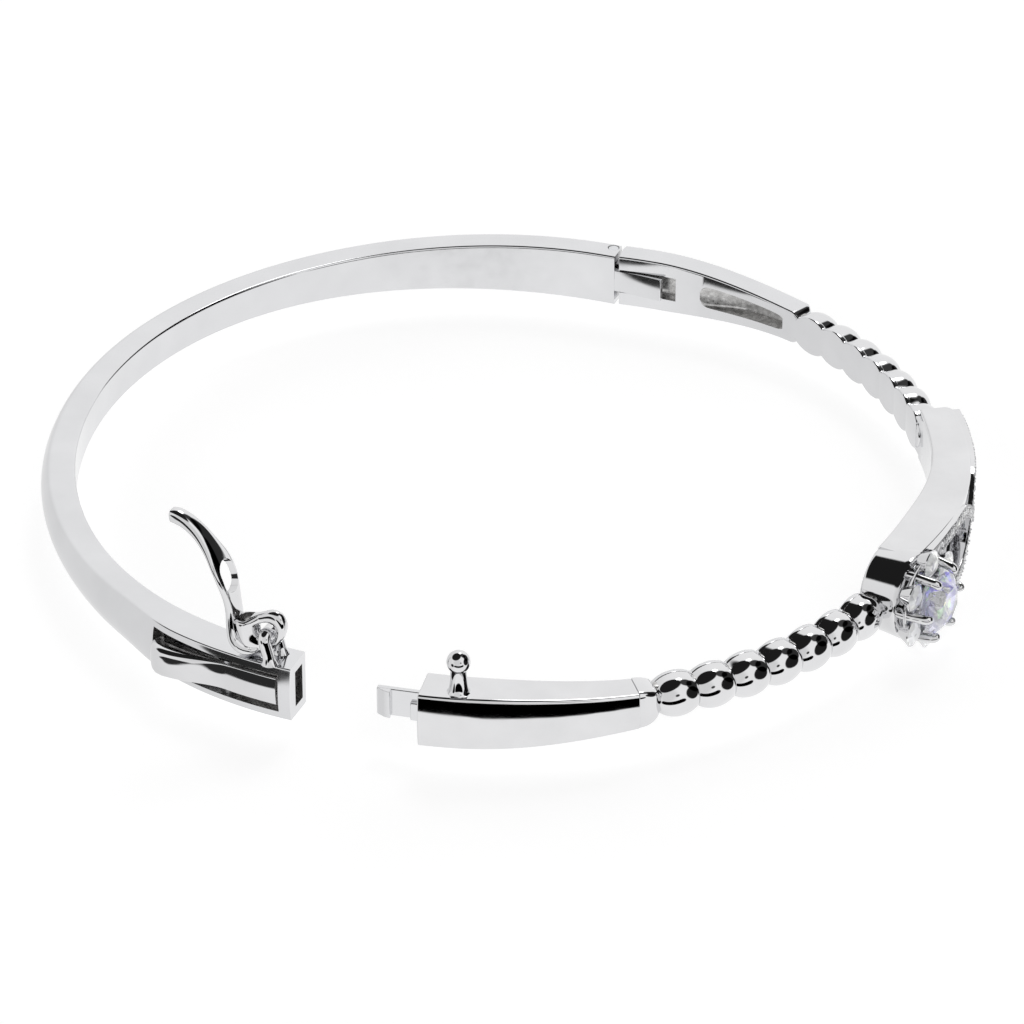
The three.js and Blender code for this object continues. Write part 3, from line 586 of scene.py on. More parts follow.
def build_back_shank():
    shank = make_object("back_shank_look", sweep(back, between(0, BOX_END, 170), back_outline), BACK,
                        [satin, recess])
    relief = moved(block(0, 3, -3, 0, -3, 3),
                   Matrix.Translation((HINGE_X, 0, 0)) @ Matrix.Rotation(math.radians(15), 4, "Z"))
    knuckle_room = block(HALF_CHORD + LEAF_THICK + 0.06, 33, -1.1, 1.4,
                         -KNUCKLE_SLOT_HALF, KNUCKLE_SLOT_HALF)
    pivot = back.frame(PRESS_PIVOT_ARC, PRESS_PIVOT_OFF, 0)
    carve(shank, [
        knuckle_room,
        relief,
        upright(HINGE_HOLE_R, 6, HINGE_X, HINGE_ARC, 0),
        upright(0.42, 1, HINGE_X, HINGE_ARC, 2.15),
        slab(back, WINDOW_START + 0.15, 84.95, BOX_FLOOR, 1.9, -CAVITY_HALF, CAVITY_HALF),
        slab(back, 84.8, BOX_END + 0.3, BOX_FLOOR, 1.65, -CAVITY_HALF, CAVITY_HALF, 3),
        slab(back, WINDOW_START, WINDOW_END, 1.7, 4, -WINDOW_HALF, WINDOW_HALF),
        moved(upright(0.27, 3.24, 0, 0, 0), pivot),
    ], BACK)
    shade(shank)
    ease_edges(shank, 0.07)
    settle(shank, "back_half", "silver", "back_shank")

    leaf_outline = soften([(0.02, -LEAF_HALF), (LEAF_THICK, -LEAF_HALF), (LEAF_THICK, LEAF_HALF),
                           (0.02, LEAF_HALF)], 0.06, 3)
    leaf = make_object("hinge_leaf", sweep(front, between(-1.0, LEAF_LENGTH, 16), lambda arc: leaf_outline),
                       BACK, [satin])
    shade(leaf)
    ease_edges(leaf, 0.05)
    settle(leaf, "back_half", "silver")


def build_hinge_pin():
    r = 0.28
    head = 0.4
    seat = 1.67
    top = BAND_HEIGHT_ENDS / 2 - 0.04
    profile = [(0.2, -seat), (r, 0.08 - seat), (r, seat), (head, seat), (head, top - 0.05),
               (head - 0.04, top), (0.1, top + 0.02)]
    shape = moved(lathe(profile, 28),
                  Matrix.Translation((HINGE_X, HINGE_ARC, 0)) @ Matrix.Rotation(math.pi / 2, 4, "X"))
    pin = make_object("hinge_pin_look", shape, BACK, [steel])
    shade(pin)
    settle(pin, "back_half", "silver", "hinge_pin")


# ---------- press lever in the clasp window
def press_outline(arc):
    u = (arc - PRESS_THUMB) / (PRESS_TIP - PRESS_THUMB)
    swell = 1.15 * (1 - smooth(u, 0.05, 0.62))
    rounding = math.sqrt(max(0.0, 1 - (max(0.0, 0.14 - u) / 0.15) ** 2))
    outer = BOX_THICK + 0.1 + swell * rounding
    inner = lerp(2.05, 1.95, u)
    low = -PRESS_HALF * (1 + 0.25 * swell) * lerp(0.8, 1, rounding)
    high = lerp(0.78, PRESS_HALF, smooth(u, 0.0, 0.85)) * lerp(0.8, 1, rounding)
    corners = [(inner, low + 0.05), (outer - 0.1, low), (outer + 0.03, (low + high) / 2),
               (outer - 0.1, high), (inner, high - 0.05)]
    thumb = 1 - smooth(u, 0.1, 0.7)
    return soften(corners, [0.05, lerp(0.1, 0.4, thumb), 1.2, lerp(0.1, 0.8, thumb), 0.05], 6)


def build_press_lever():
    pivot = back.frame(PRESS_PIVOT_ARC, PRESS_PIVOT_OFF, 0)
    near = [PRESS_THUMB + 0.05 * k * k for k in range(1, 7)]
    arcs = [PRESS_THUMB, *near, *between(near[-1] + 0.2, PRESS_TIP, 48)]
    plate = make_object("press_lever_look", sweep(back, arcs, press_outline), BACK, [polished])
    shade(plate, 40)
    ease_edges(plate, 0.06, 3, 50)
    settle(plate, "press_lever_body", "silver", "press_lever")

    lug = moved(upright(0.55, 1.7, 0, 0, 0), pivot)
    web = slab(back, PRESS_PIVOT_ARC - 0.5, PRESS_PIVOT_ARC + 0.5, 1.62, 2.15, -0.85, 0.85, 2)

    def nose_outline(arc):
        low = lerp(1.56, 1.62, (arc - 84.55) / 0.45)
        return [(low, -0.55), (2.1, -0.55), (2.1, 0.55), (low, 0.55)]

    nose = sweep(back, [84.55, 84.8, 85.0], nose_outline)
    under = make_object("press_lever_lug", merged([lug, web, nose]), BACK, [satin])
    shade(under)
    ease_edges(under, 0.03, 1)
    settle(under, "press_lever_body", "silver")


# ---------- safety ear and safety lever
def build_ear():
    foot = back_half_height(EAR_ARC)
    top = SAFETY_PIVOT_Z
    bend = top - EAR_CORNER
    reach = EAR_LEG - EAR_CORNER
    path = [Vector((0, -EAR_LEG, z)) for z in between(foot, bend, 8)]
    for a in between(0, math.pi / 2, 7)[1:]:
        path.append(Vector((0, -reach - EAR_CORNER * math.cos(a), bend + EAR_CORNER * math.sin(a))))
    path += [Vector((0, y, top)) for y in between(-reach, reach, 4)[1:]]
    for a in between(math.pi / 2, 0, 7)[1:]:
        path.append(Vector((0, reach + EAR_CORNER * math.cos(a), bend + EAR_CORNER * math.sin(a))))
    path += [Vector((0, EAR_LEG, z)) for z in between(bend, foot, 8)[1:]]
    radii = [EAR_BAR_R * (1 + 0.4 * math.exp(-((p.z - foot) / 0.22) ** 2)) for p in path]
    for p in path:
        p.x = -EAR_LEAN * smooth(p.z, top, foot)
    staple = tube(path, radii, 24, (1.25, 1.0), Vector((1, 0, 0)))
    ear = make_object("safety_ear_look", moved(staple, back.frame(EAR_ARC, SAFETY_OFF, 0)), BACK, [polished])
    shade(ear, 50)
    settle(ear, "back_half", "silver", "safety_ear")


# Side profile of the lever: distance towards the back, height, half width, half thickness.
ARM = [
    (0.7, 2.75, 0.42, 0.3), (1.05, 2.48, 0.8, 0.4), (1.65, 2.55, 1.05, 0.46), (2.2, 3.0, 1.05, 0.46),
    (2.45, 3.9, 0.9, 0.4), (2.55, 5.0, 0.82, 0.36), (2.72, 6.1, 0.95, 0.32), (3.02, 7.2, 1.16, 0.3),
    (3.48, 8.2, 1.12, 0.3), (4.1, 9.15, 0.85, 0.34), (4.85, 10.0, 0.66, 0.4), (5.7, 10.6, 0.56, 0.46),
    (6.4, 10.85, 0.52, 0.5), (6.85, 10.86, 0.46, 0.46),
]
SLOT_FROM = 6.15
SLOT_TO = 8.35
EYE_OUTER = [(0.35, 2.2), (-0.4, 2.75), (-1.05, 3.6), (-1.3, 4.6), (-1.0, 5.35), (-0.35, 5.55), (0.5, 5.2),
             (1.5, 4.65), (2.35, 4.4), (2.3, 3.6), (1.9, 2.6), (1.1, 2.1)]
EYE_INNER = [(0.3, 3.42), (-0.1, 3.4), (-0.42, 3.62), (-0.56, 4.05), (-0.44, 4.42), (-0.1, 4.6),
             (0.25, 4.55), (0.52, 4.4), (0.62, 4.2), (0.64, 3.95), (0.6, 3.7), (0.48, 3.52)]
EYE_HALF = 0.4
HEEL_HALF = 0.85


def lever_arm():
    rings = []
    rows = catmull(ARM, 90)
    power = 0.72
    for i, (x, z, w, t) in enumerate(rows):
        x0, z0 = rows[max(0, i - 1)][:2]
        x1, z1 = rows[min(len(rows) - 1, i + 1)][:2]
        length = math.hypot(x1 - x0, z1 - z0)
        normal = Vector((z1 - z0, 0, x0 - x1)) / length
        ring = []
        for k in range(28):
            a = 2 * math.pi * k / 28
            across = math.copysign(abs(math.cos(a)) ** power, math.cos(a)) * w
            through = math.copysign(abs(math.sin(a)) ** power, math.sin(a)) * t
            ring.append(Vector((x, across, z)) + normal * through)
        rings.append(ring)
    for end, inner in ((0, 1), (-1, -2)):
        centre = sum(rings[end], Vector()) / len(rings[end])
        step = (centre - sum(rings[inner], Vector()) / len(rings[inner])).normalized() * 0.12
        caps = [[centre + (p - centre) * scale + step * rise for p in rings[end]]
                for scale, rise in ((0.86, 0.5), (0.6, 0.85), (0.25, 1.0))]
        rings = list(reversed(caps)) + rings if end == 0 else rings + caps
    return loft(rings)


def eye_loop():
    count = 72
    outer = catmull_loop(EYE_OUTER, count)
    inner = catmull_loop(EYE_INNER, count)
    rings = []
    for (xo, zo), (xi, zi) in zip(outer, inner):
        middle = Vector(((xo + xi) / 2, 0, (zo + zi) / 2))
        reach = Vector((xo - xi, 0, zo - zi)) / 2
        ring = []
        for k in range(20):
            a = 2 * math.pi * k / 20
            ca = math.copysign(abs(math.cos(a)) ** 0.8, math.cos(a))
            sa = math.copysign(abs(math.sin(a)) ** 0.8, math.sin(a))
            point = middle + reach * ca
            half = lerp(EYE_HALF, HEEL_HALF, smooth(point.x, 0.5, 1.5))
            ring.append(point + Vector((0, half * sa, 0)))
        rings.append(ring)
    return loft(rings, closed=True)


def slot_cutter():
    half = BALL_R + 0.055
    length = SLOT_TO - SLOT_FROM
    far = length - half + 0.1
    outline = [(half * math.cos(a), half + half * math.sin(a)) for a in between(math.pi, 2 * math.pi, 14)]
    outline += [(half * math.cos(a), far + half * math.sin(a)) for a in between(0, math.pi, 14)]
    lean = math.atan2(3.48 - 2.72, 8.2 - 6.1)
    shape = loft([[(x, y, z) for y, z in outline] for x in (-2, 2)])
    return moved(shape, Matrix.Translation((2.74, 0, SLOT_FROM)) @ Matrix.Rotation(lean, 4, "Y"))


def build_safety_lever():
    local = back.frame(EAR_ARC, SAFETY_OFF, 0)
    arm = make_object("safety_lever_look", moved(lever_arm(), local), BACK, [polished])
    carve(arm, [moved(slot_cutter(), local)], BACK)
    shade(arm, 40)
    ease_edges(arm, 0.08, 3)
    settle(arm, "safety_lever_body", "silver", "safety_lever")
    eye = make_object("safety_lever_eye", moved(eye_loop(), local), BACK, [polished, cast_grain_and_shade])
    profile = [(0.3, -0.62), (0.52, -0.434), (0.6, 0.0), (0.52, 0.434), (0.3, 0.62)]
    place = Matrix.Translation((1.42, 0, 4.35)) @ Matrix.Diagonal((1.15, 1, 0.85, 1))
    carve(eye, [moved(lathe(profile, 32), local @ place)], BACK)
    shade(eye, 50)
    ease_edges(eye, 0.06, 2, 50)
    settle(eye, "safety_lever_body", "silver")


# ---------- hinge segment and beads
def hinge_end_round(arc):
    return 1 - 0.25 * smooth(arc, HINGE_SEGMENT_END - 0.9, HINGE_SEGMENT_END) ** 2


def hinge_half(arc):
    taper = smooth(arc, 3, HINGE_SEGMENT_END) ** 0.9
    return lerp(BAND_HEIGHT_ENDS / 2, 1.25, taper) * hinge_end_round(arc)


def hinge_outline(arc):
    u = arc / HINGE_SEGMENT_END
    thick = lerp(BAND_THICK, 1.75, u) * hinge_end_round(arc)
    return band_outline(thick, lerp(0.42, 0.3, u), hinge_half(arc))


def hollow_outline(arc):
    u = (arc - POCKET_START) / (POCKET_END - POCKET_START)
    ends = (1 - min(1.0, abs(2 * u - 1.02)) ** 14) ** 0.5
    half = lerp(0.98, 0.62, u) * lerp(0.45, 1, ends)
    deep = 0.04 + 1.05 * math.sin(min(1, u * 1.5) * math.pi / 2) * lerp(0.4, 1, ends)
    return soften([(-1, -half), (deep, -half * 0.85), (deep, half * 0.85), (-1, half)], [0, 0.2, 0.2, 0], 3)


def build_hinge_segment():
    arcs = [*between(SEAM_GAP, HINGE_SEGMENT_END - 0.9, 44),
            *between(HINGE_SEGMENT_END - 0.8, HINGE_SEGMENT_END, 8)]
    segment = make_object("hinge_segment_look", sweep(front, arcs, hinge_outline), FRONT, [satin, recess])
    relief = moved(block(0, 3, 0, 3, -3, 3), Matrix.Translation((HINGE_X, -SEAM_GAP - 0.02, 0))
                   @ Matrix.Rotation(math.radians(-15), 4, "Z"))
    carve(segment, [
        relief,
        slab(front, -0.2, LEAF_SLOT_LENGTH, -1, LEAF_THICK + 0.1, -LEAF_SLOT_HALF, LEAF_SLOT_HALF),
        sweep(front, between(POCKET_START, POCKET_END, 40), hollow_outline),
    ], FRONT)
    shade(segment)
    ease_edges(segment, 0.06)
    settle(segment, "front_half", "silver", "hinge_segment")

    knuckle = upright(KNUCKLE_R, 2 * KNUCKLE_HALF, HINGE_X, HINGE_ARC, 0)
    neck = block(HINGE_X + 0.1 - 0.7 * KNUCKLE_R, HINGE_X + 0.1 + 0.7 * KNUCKLE_R,
                 HINGE_ARC - 1.5, HINGE_ARC, -KNUCKLE_HALF, KNUCKLE_HALF)
    barrel = make_object("hinge_knuckle", knuckle, FRONT, [satin, recess])
    carve(barrel, [neck], FRONT, "UNION")
    carve(barrel, [upright(HINGE_HOLE_R, 6, HINGE_X, HINGE_ARC, 0)], FRONT)
    shade(barrel)
    ease_edges(barrel, 0.05)
    settle(barrel, "front_half", "silver")


def bead_half(arc):
    return lerp(1.42, 1.56, smooth(12 - abs(arc - 43), 0, 12))


def bead(centre):
    """Radial barrel with a domed outer end and a softly rounded inner rim."""
    half = bead_half(centre)
    length = BEAD_HALF_LENGTH
    rows = [(0.0, 0.93), (0.05, 0.97), (0.14, 0.995), (0.3, 1.0), (BEAD_BARREL * 0.7, 1.0)]
    for a in between(0, math.pi / 2 - 0.06, 16):
        rows.append((BEAD_BARREL + BEAD_DOME * math.sin(a), math.cos(a) ** 0.92))
    rings = []
    for off, scale in rows:
        rings.append([(length * scale * math.cos(2 * math.pi * k / 44), off,
                       half * scale * math.sin(2 * math.pi * k / 44)) for k in range(44)])
    return moved(loft(rings), front.frame(centre, 0, 0))


def build_bead_strip(name, node, start, end, core_start, core_end):
    pitch = (end - start) / BEADS
    core_outline = soften([(0.3, -1.0), (1.1, -1.0), (1.35, 0), (1.1, 1.0), (0.3, 1.0)],
                          [0.15, 0.3, 0.3, 0.3, 0.15], 3)

    def plate_outline(arc):
        index = min(BEADS - 1, max(0, int((arc - start) / pitch)))
        reach = min(abs(arc - (start + (index + 0.5) * pitch)), 0.5 * pitch + 0.3)
        half = bead_half(arc) * math.sqrt(1 - (reach / BEAD_HALF_LENGTH) ** 2) + 0.01
        return soften([(-0.02, -half), (0.4, -half), (0.4, half), (-0.02, half)], [0.12, 0.1, 0.1, 0.12], 3)

    plate = make_object(f"{name}_plate", sweep(front, between(core_start, core_end, 180), plate_outline),
                        FRONT, [satin])
    shade(plate, 60)
    settle(plate, "front_half", "silver")
    core_shape = sweep(front, between(core_start, core_end, 40), lambda arc: core_outline)
    core = make_object(f"{name}_core", core_shape, FRONT, [cast_grain_and_shade])
    shade(core)
    settle(core, "front_half", "silver")
    beads = [bead(start + (i + 0.5) * pitch) for i in range(BEADS)]
    strip = make_object(name, merged(beads), FRONT, [polished])
    shade(strip, 42)
    settle(strip, "front_half", "silver", node)


# ---------- centrepiece
def rail_edge(arc, sign):
    spread = lerp(CENTRE_HALF_START, COLLAR_R + 0.1, smooth(arc, CENTRE_START + 3, 47.5))
    return CLUSTER_Z * smooth(arc, 42, 50) + sign * spread


def centre_inner(arc):
    return 0.25 - 0.65 * smooth(arc, 36, 49)


def rail_outer(arc):
    return 2.55 + 0.35 * math.sin(math.pi * (arc - CENTRE_START) / 21) - 0.15 * smooth(arc, 44, 51)


def rail_outline(arc, sign):
    edge = rail_edge(arc, sign)
    inner = centre_inner(arc)
    start_round = math.sqrt(max(0.0, 1 - (1 - min(1.0, (arc - CENTRE_START + 0.02) / 0.5)) ** 2))
    outer = lerp(rail_outer(arc) - 0.5, rail_outer(arc), start_round)
    thick = 0.62
    corners = [(inner, edge), (outer, edge), (outer, edge - sign * thick), (inner, edge - sign * thick)]
    return soften(corners, [0.16, 0.2, 0.05, 0.12], 5)


def ribbon_z(arc, sign):
    middle = CLUSTER_Z * smooth(arc, 42, 50)
    wave = math.cos(math.pi * smooth(arc, 36, 46.5))
    return middle + (rail_edge(arc, sign) - middle - sign * 0.55) * wave


def ribbon_outer(arc):
    return RIBBON_OFF + 0.15 * math.sin(math.pi * (arc - CENTRE_START) / 19)


def ribbon_outline(arc, sign):
    z = ribbon_z(arc, sign)
    outer = ribbon_outer(arc)
    corners = [(1.6, z - 0.5), (outer, z - 0.5), (outer - 0.06, z), (outer, z + 0.5), (1.6, z + 0.5)]
    return soften(corners, [0.05, 0.1, 0.5, 0.1, 0.05], 3)


def ribbon_top(arc, sign):
    z = ribbon_z(arc, sign)
    outer = ribbon_outer(arc)
    corners = [(outer - 0.3, z - 0.44), (outer + 0.015, z - 0.44), (outer - 0.045, z),
               (outer + 0.015, z + 0.44), (outer - 0.3, z + 0.44)]
    return soften(corners, [0.05, 0.08, 0.4, 0.08, 0.05], 3)


def sheet_outline(arc):
    half = lerp(1.25, rail_edge(arc, 1) - 0.2, smooth(arc, CENTRE_START - 0.6, CENTRE_START + 1.6))
    inner = lerp(0.02, centre_inner(arc) - 0.03, smooth(arc, CENTRE_START - 0.6, CENTRE_START + 1.0))
    return soften([(inner, -half), (inner + 0.35, -half), (inner + 0.35, half), (inner, half)], 0.1, 3)


def build_centre_frame():
    local = front.frame(CLUSTER_ARC, 0, CLUSTER_Z)
    arcs = [*between(CENTRE_START, CENTRE_START + 0.6, 8), *between(CENTRE_START + 0.9, CLUSTER_ARC, 60)]
    rails = [sweep(front, arcs, lambda arc, s=sign: rail_outline(arc, s)) for sign in (1, -1)]
    wall = slab(front, CENTRE_START + 0.05, CENTRE_START + 0.8, 0.26, 2.35, -1.85, 1.85, 3)
    room = moved(lathe([(CUP_R + 0.01, -3), (CUP_R + 0.01, 5)], 64), local)
    plates = make_object("centre_plates", merged([*rails, wall]), FRONT, [polished, recess])
    carve(plates, [room], FRONT)
    shade(plates)
    settle(plates, "front_half", "silver", "centre_frame")

    arcs = between(CENTRE_START + 0.3, RIBBON_END, 60)
    for name, outline, material in (("pave_ribbons", ribbon_outline, polished),
                                    ("pave_beds", ribbon_top, pave_ground)):
        ribbons = [sweep(front, arcs, lambda arc, s=sign: outline(arc, s)) for sign in (1, -1)]
        ground = make_object(name, merged(ribbons), FRONT, [material])
        carve(ground, [room], FRONT)
        shade(ground)
        settle(ground, "front_half", "silver")

    sheet_shape = sweep(front, between(CENTRE_START - 0.9, SHEET_END, 40), sheet_outline)
    sheet = make_object("centre_inner_sheet", sheet_shape, FRONT, [satin])
    shade(sheet)
    settle(sheet, "front_half", "silver")

    low, top = COLLAR_LOW, COLLAR_TOP
    profile = [(CUP_R + 0.02, low + 0.02), (COLLAR_R - 0.08, low), (COLLAR_R - 0.01, low + 0.08)]
    profile += [(lerp(COLLAR_R, COLLAR_TOP_R, t), lerp(low + 0.2, top - 0.12, t)) for t in between(0, 1, 8)]
    profile += [(COLLAR_TOP_R - 0.03, top - 0.03), (COLLAR_TOP_R - 0.12, top), (CUP_R + 0.02, top)]
    collar = make_object("cluster_collar", moved(ring_lathe(profile, 96), local), FRONT, [polished])
    shade(collar, 40)
    settle(collar, "front_half", "silver")


def brilliant(radius, culet, crown, table):
    """Round brilliant: table, stars, kites, girdle facets and pavilion, pointing along y."""
    def ring(count, r, y, phase):
        return [(radius * r * math.cos(2 * math.pi * (k + phase) / count), radius * y,
                 radius * r * math.sin(2 * math.pi * (k + phase) / count)) for k in range(count)]

    top = ring(8, table, crown, 0.5)
    star = ring(8, lerp(table, 1, 0.52), crown * 0.56, 0)
    girdle = ring(16, 1, 0.04, 0)
    belt = ring(16, 1, -0.04, 0)
    lower = ring(8, 0.24, culet * 0.8, 0)
    points = [*top, *star, *girdle, *belt, *lower, (0, radius * culet, 0)]
    t, s, g, b, w, c = 0, 8, 16, 32, 48, 56
    faces = [tuple(range(8))]
    for k in range(8):
        n = (k + 1) % 8
        g0, g1, g2 = (g + (2 * k + d) % 16 for d in (0, 1, 2))
        b0, b1, b2 = (b + (2 * k + d) % 16 for d in (0, 1, 2))
        faces += [(t + k, s + n, t + n), (t + k, s + k, g1), (t + k, g1, s + n), (s + k, g0, g1),
                  (s + n, g1, g2), (g0, b0, b1, g1), (g1, b1, b2, g2), (b0, w + k, b1), (b1, w + n, b2),
                  (w + k, c, b1), (b1, c, w + n)]
    return [Vector(p) for p in points], faces


def build_pave():
    random.seed(11)
    stones = {1: [], -1: []}
    grains = []
    count = int((PAVE_LAST - PAVE_FIRST) / PAVE_PITCH)
    for sign in (1, -1):
        for i in range(count + 1):
            arc = PAVE_FIRST + i * PAVE_PITCH
            r = 0.27 + 0.03 * math.sin(math.pi * i / count)
            spot = front.frame(arc, ribbon_outer(arc) - 0.04, ribbon_z(arc, sign))
            twist = Matrix.Rotation(random.uniform(0, 0.7), 4, "Y")
            stones[sign].append(moved(brilliant(r, -0.6, 0.34, 0.55), spot @ twist))
            for side in (-1, 1):
                for step in (-0.17, 0.17):
                    g = front.frame(arc + PAVE_PITCH / 2 + step, ribbon_outer(arc) + 0.01,
                                    ribbon_z(arc + PAVE_PITCH / 2, sign) + side * 0.3)
                    size = random.uniform(0.075, 0.1)
                    rows = [(size * math.cos(a), size * math.sin(a)) for a in between(-0.6, 1.45, 5)]
                    grains.append(moved(lathe(rows, 8), g))
    for label, sign in (("a", 1), ("b", -1)):
        line = make_object(f"pave_row_{label}", merged(stones[sign]), FRONT, [clear])
        settle(line, "front_half", "stone", *[f"pave_stone_{label}{i}" for i in range(1, 10)])
    beads = make_object("pave_grains", merged(grains), FRONT, [polished])
    shade(beads, 50)
    settle(beads, "front_half", "silver")


def claw_shape(index):
    a = 2 * math.pi * index / CLAWS
    x, z = math.cos(a), math.sin(a)
    girdle = STONE_GIRDLE
    rows = [(COLLAR_TOP - 0.2, CLAW_RING + 0.1, 0.29), (3.3, CLAW_RING + 0.1, 0.31),
            (girdle - 0.25, CLAW_RING, 0.32), (girdle + 0.1, CLAW_RING - 0.06, 0.33),
            (girdle + 0.32, CLAW_RING - 0.2, 0.31), (girdle + 0.46, CLAW_RING - 0.34, 0.21),
            (girdle + 0.52, CLAW_RING - 0.4, 0.08)]
    rows = catmull(rows, 26)
    path = [Vector((x * ring, y, z * ring)) for y, ring, r in rows]
    return tube(path, [r for y, ring, r in rows], 18, side=Vector((-z, 0, x)))


def build_cluster():
    local = front.frame(CLUSTER_ARC, 0, CLUSTER_Z)
    profile = [
        (1.95, -0.2), (CUP_R, -0.2), (CUP_R, COLLAR_TOP + 0.02), (2.78, 2.8),
        (CUP_RIM_R - 0.06, CUP_RIM - 0.05), (CUP_RIM_R - 0.02, CUP_RIM + 0.04),
        (CUP_RIM_R - 0.12, CUP_RIM + 0.12), (1.62, CUP_RIM + 0.12), (1.58, 3.5), (1.32, 3.5), (1.32, 2.6),
        (1.95, 2.4),
    ]
    collet = [(0.4, -0.82), (0.5, -0.84), (0.86, -0.2), (0.99, -0.02), (0.97, 0.05), (0.9, 0.04),
              (0.42, -0.66)]
    cup = make_object("cluster_cup", moved(ring_lathe(profile, 96), local), FRONT, [polished, recess])
    seats = []
    halo = []
    collets = []
    for i in range(CLAWS):
        a = 2 * math.pi * (i + 0.5) / CLAWS
        spot = local @ Matrix.Translation((HALO_RING * math.cos(a), HALO_OFF, HALO_RING * math.sin(a)))
        seats.append(moved(lathe([(0.5, -0.7), (HALO_R + 0.03, 0.06)], 36), spot))
        halo.append(moved(brilliant(HALO_R, -0.6, 0.34, 0.55), spot @ Matrix.Rotation(a, 4, "Y")))
        collets.append(moved(ring_lathe(collet, 36), spot))
    carve(cup, seats, FRONT)
    shade(cup, 40)
    ease_edges(cup, 0.05)
    settle(cup, "front_half", "silver", "cluster_basket")

    arches = make_object("halo_collets", merged(collets), FRONT, [polished])
    shade(arches, 45)
    settle(arches, "front_half", "silver")

    claws = make_object("cluster_claws", moved(merged([claw_shape(i) for i in range(CLAWS)]), local), FRONT,
                        [polished])
    shade(claws, 60)
    settle(claws, "front_half", "silver")

    for i, shape in enumerate(halo):
        stone = make_object(f"halo_look_{i + 1}", shape, FRONT, [clear])
        settle(stone, "front_half", "stone", f"halo_stone_{i + 1}")
    centre = moved(brilliant(STONE_R, -0.86, 0.34, 0.56), local @ Matrix.Translation((0, STONE_GIRDLE, 0)))
    stone = make_object("centre_look", centre, FRONT, [fire])
    settle(stone, "front_half", "stone", "centre_stone")


# ---------- tongue segment, stud and tongue
def tongue_half(arc):
    return lerp(1.25, BAND_HEIGHT_ENDS / 2 - 0.03, smooth(arc, TONGUE_SEGMENT_START, 84) ** 0.75)


def tongue_outline(arc):
    u = (arc - TONGUE_SEGMENT_START) / (TONGUE_SEGMENT_END - TONGUE_SEGMENT_START)
    return band_outline(lerp(1.95, 2.85, smooth(u, -0.2, 1.05)), 0.16, tongue_half(arc), 0.13, 0.2)


def build_tongue_segment():
    start = TONGUE_SEGMENT_START
    seam = start + TONGUE_END_BEAD
    shape = sweep(front, between(seam, TONGUE_SEGMENT_END, 60), tongue_outline)
    segment = make_object("tongue_segment_look", shape, FRONT, [polished, recess])
    root = slab(front, TONGUE_SEGMENT_END - 1.0, TONGUE_SEGMENT_END + 1, 0.73, 1.17, -1.02, 1.02, 3)
    carve(segment, [root], FRONT)
    shade(segment)
    ease_edges(segment, 0.07)
    settle(segment, "front_half", "silver", "tongue_segment")

    def end_outline(arc):
        fullness = math.sqrt(1 - min(0.99, (seam - arc) / TONGUE_END_BEAD) ** 2)
        half = (tongue_half(seam) + 0.05) * lerp(0.4, 1, fullness)
        outer = lerp(1.2, 2.1, fullness)
        edge = lerp(0.3, 0.4, fullness)
        return soften([(0.0, -half), (outer, -half), (outer, half), (0.0, half)], [0.1, edge, edge, 0.1], 6)

    end_shape = sweep(front, between(start + 0.02, seam, 24), end_outline)
    end_bead = make_object("tongue_segment_bead", end_shape, FRONT, [polished])
    shade(end_bead, 42)
    settle(end_bead, "front_half", "silver")

    top = tongue_half(BALL_ARC)
    profile = [
        (0.3, top - 0.6), (0.3, top - 0.02), (0.78, top - 0.01), (0.72, top + 0.05), (0.66, top + 0.16),
        (0.61, top + 0.36), (0.57, top + 0.65), (STUD_NECK_R, top + 1.0),
    ]
    low = -math.acos(STUD_NECK_R / BALL_R)
    for a in between(low, math.pi / 2 - 0.03, 26):
        profile.append((BALL_R * math.cos(a), BALL_Z + BALL_R * math.sin(a)))
    foot = front.point(BALL_ARC, BALL_OFF, 0)
    upright_turn = Matrix.Translation(foot) @ Matrix.Rotation(math.pi / 2, 4, "X")
    stud = make_object("ball_stud_look", moved(lathe(profile, 48), upright_turn), FRONT, [polished])
    shade(stud, 50)
    settle(stud, "front_half", "silver", "ball_stud")


def build_tongue():
    x0 = -HALF_CHORD
    plate = rounded_block(x0 - 1.15, x0 - 0.75, -0.95, TONGUE_LENGTH, -1, 1, 0.07)
    ramp = [(-1.1, 2.05), (-1.52, 2.05), (-1.42, 2.45), (-1.1, TONGUE_LENGTH)]
    head = loft([[(x0 + x, y, z) for x, y in soften(ramp, 0.05, 2)] for z in between(-1, 1, 4)])
    stop = rounded_block(x0 - 1.44, x0 - 1.12, 0.12, 0.72, -1.0, 0.3, 0.08)
    tongue = make_object("tongue_look", merged([plate, head, stop]), FRONT, [satin])
    shade(tongue)
    ease_edges(tongue, 0.04, 2)
    settle(tongue, "front_half", "silver", "tongue")


build_back_shank()
build_hinge_pin()
build_press_lever()
build_ear()
build_safety_lever()
build_hinge_segment()
build_bead_strip("upper_beads", "upper_bead_strip", HINGE_SEGMENT_END, CENTRE_START,
                 HINGE_SEGMENT_END - 0.3, CENTRE_START + 0.1)
build_bead_strip("lower_beads", "lower_bead_strip", CENTRE_END, TONGUE_SEGMENT_START,
                 CENTRE_END - 0.3, TONGUE_SEGMENT_START + 0.6)
build_centre_frame()
build_pave()
build_cluster()
build_tongue_segment()
build_tongue()

for name in ("press_lever_pin", "press_spring"):
    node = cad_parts[name]
    node.data.materials.clear()
    node.data.materials.append(steel)


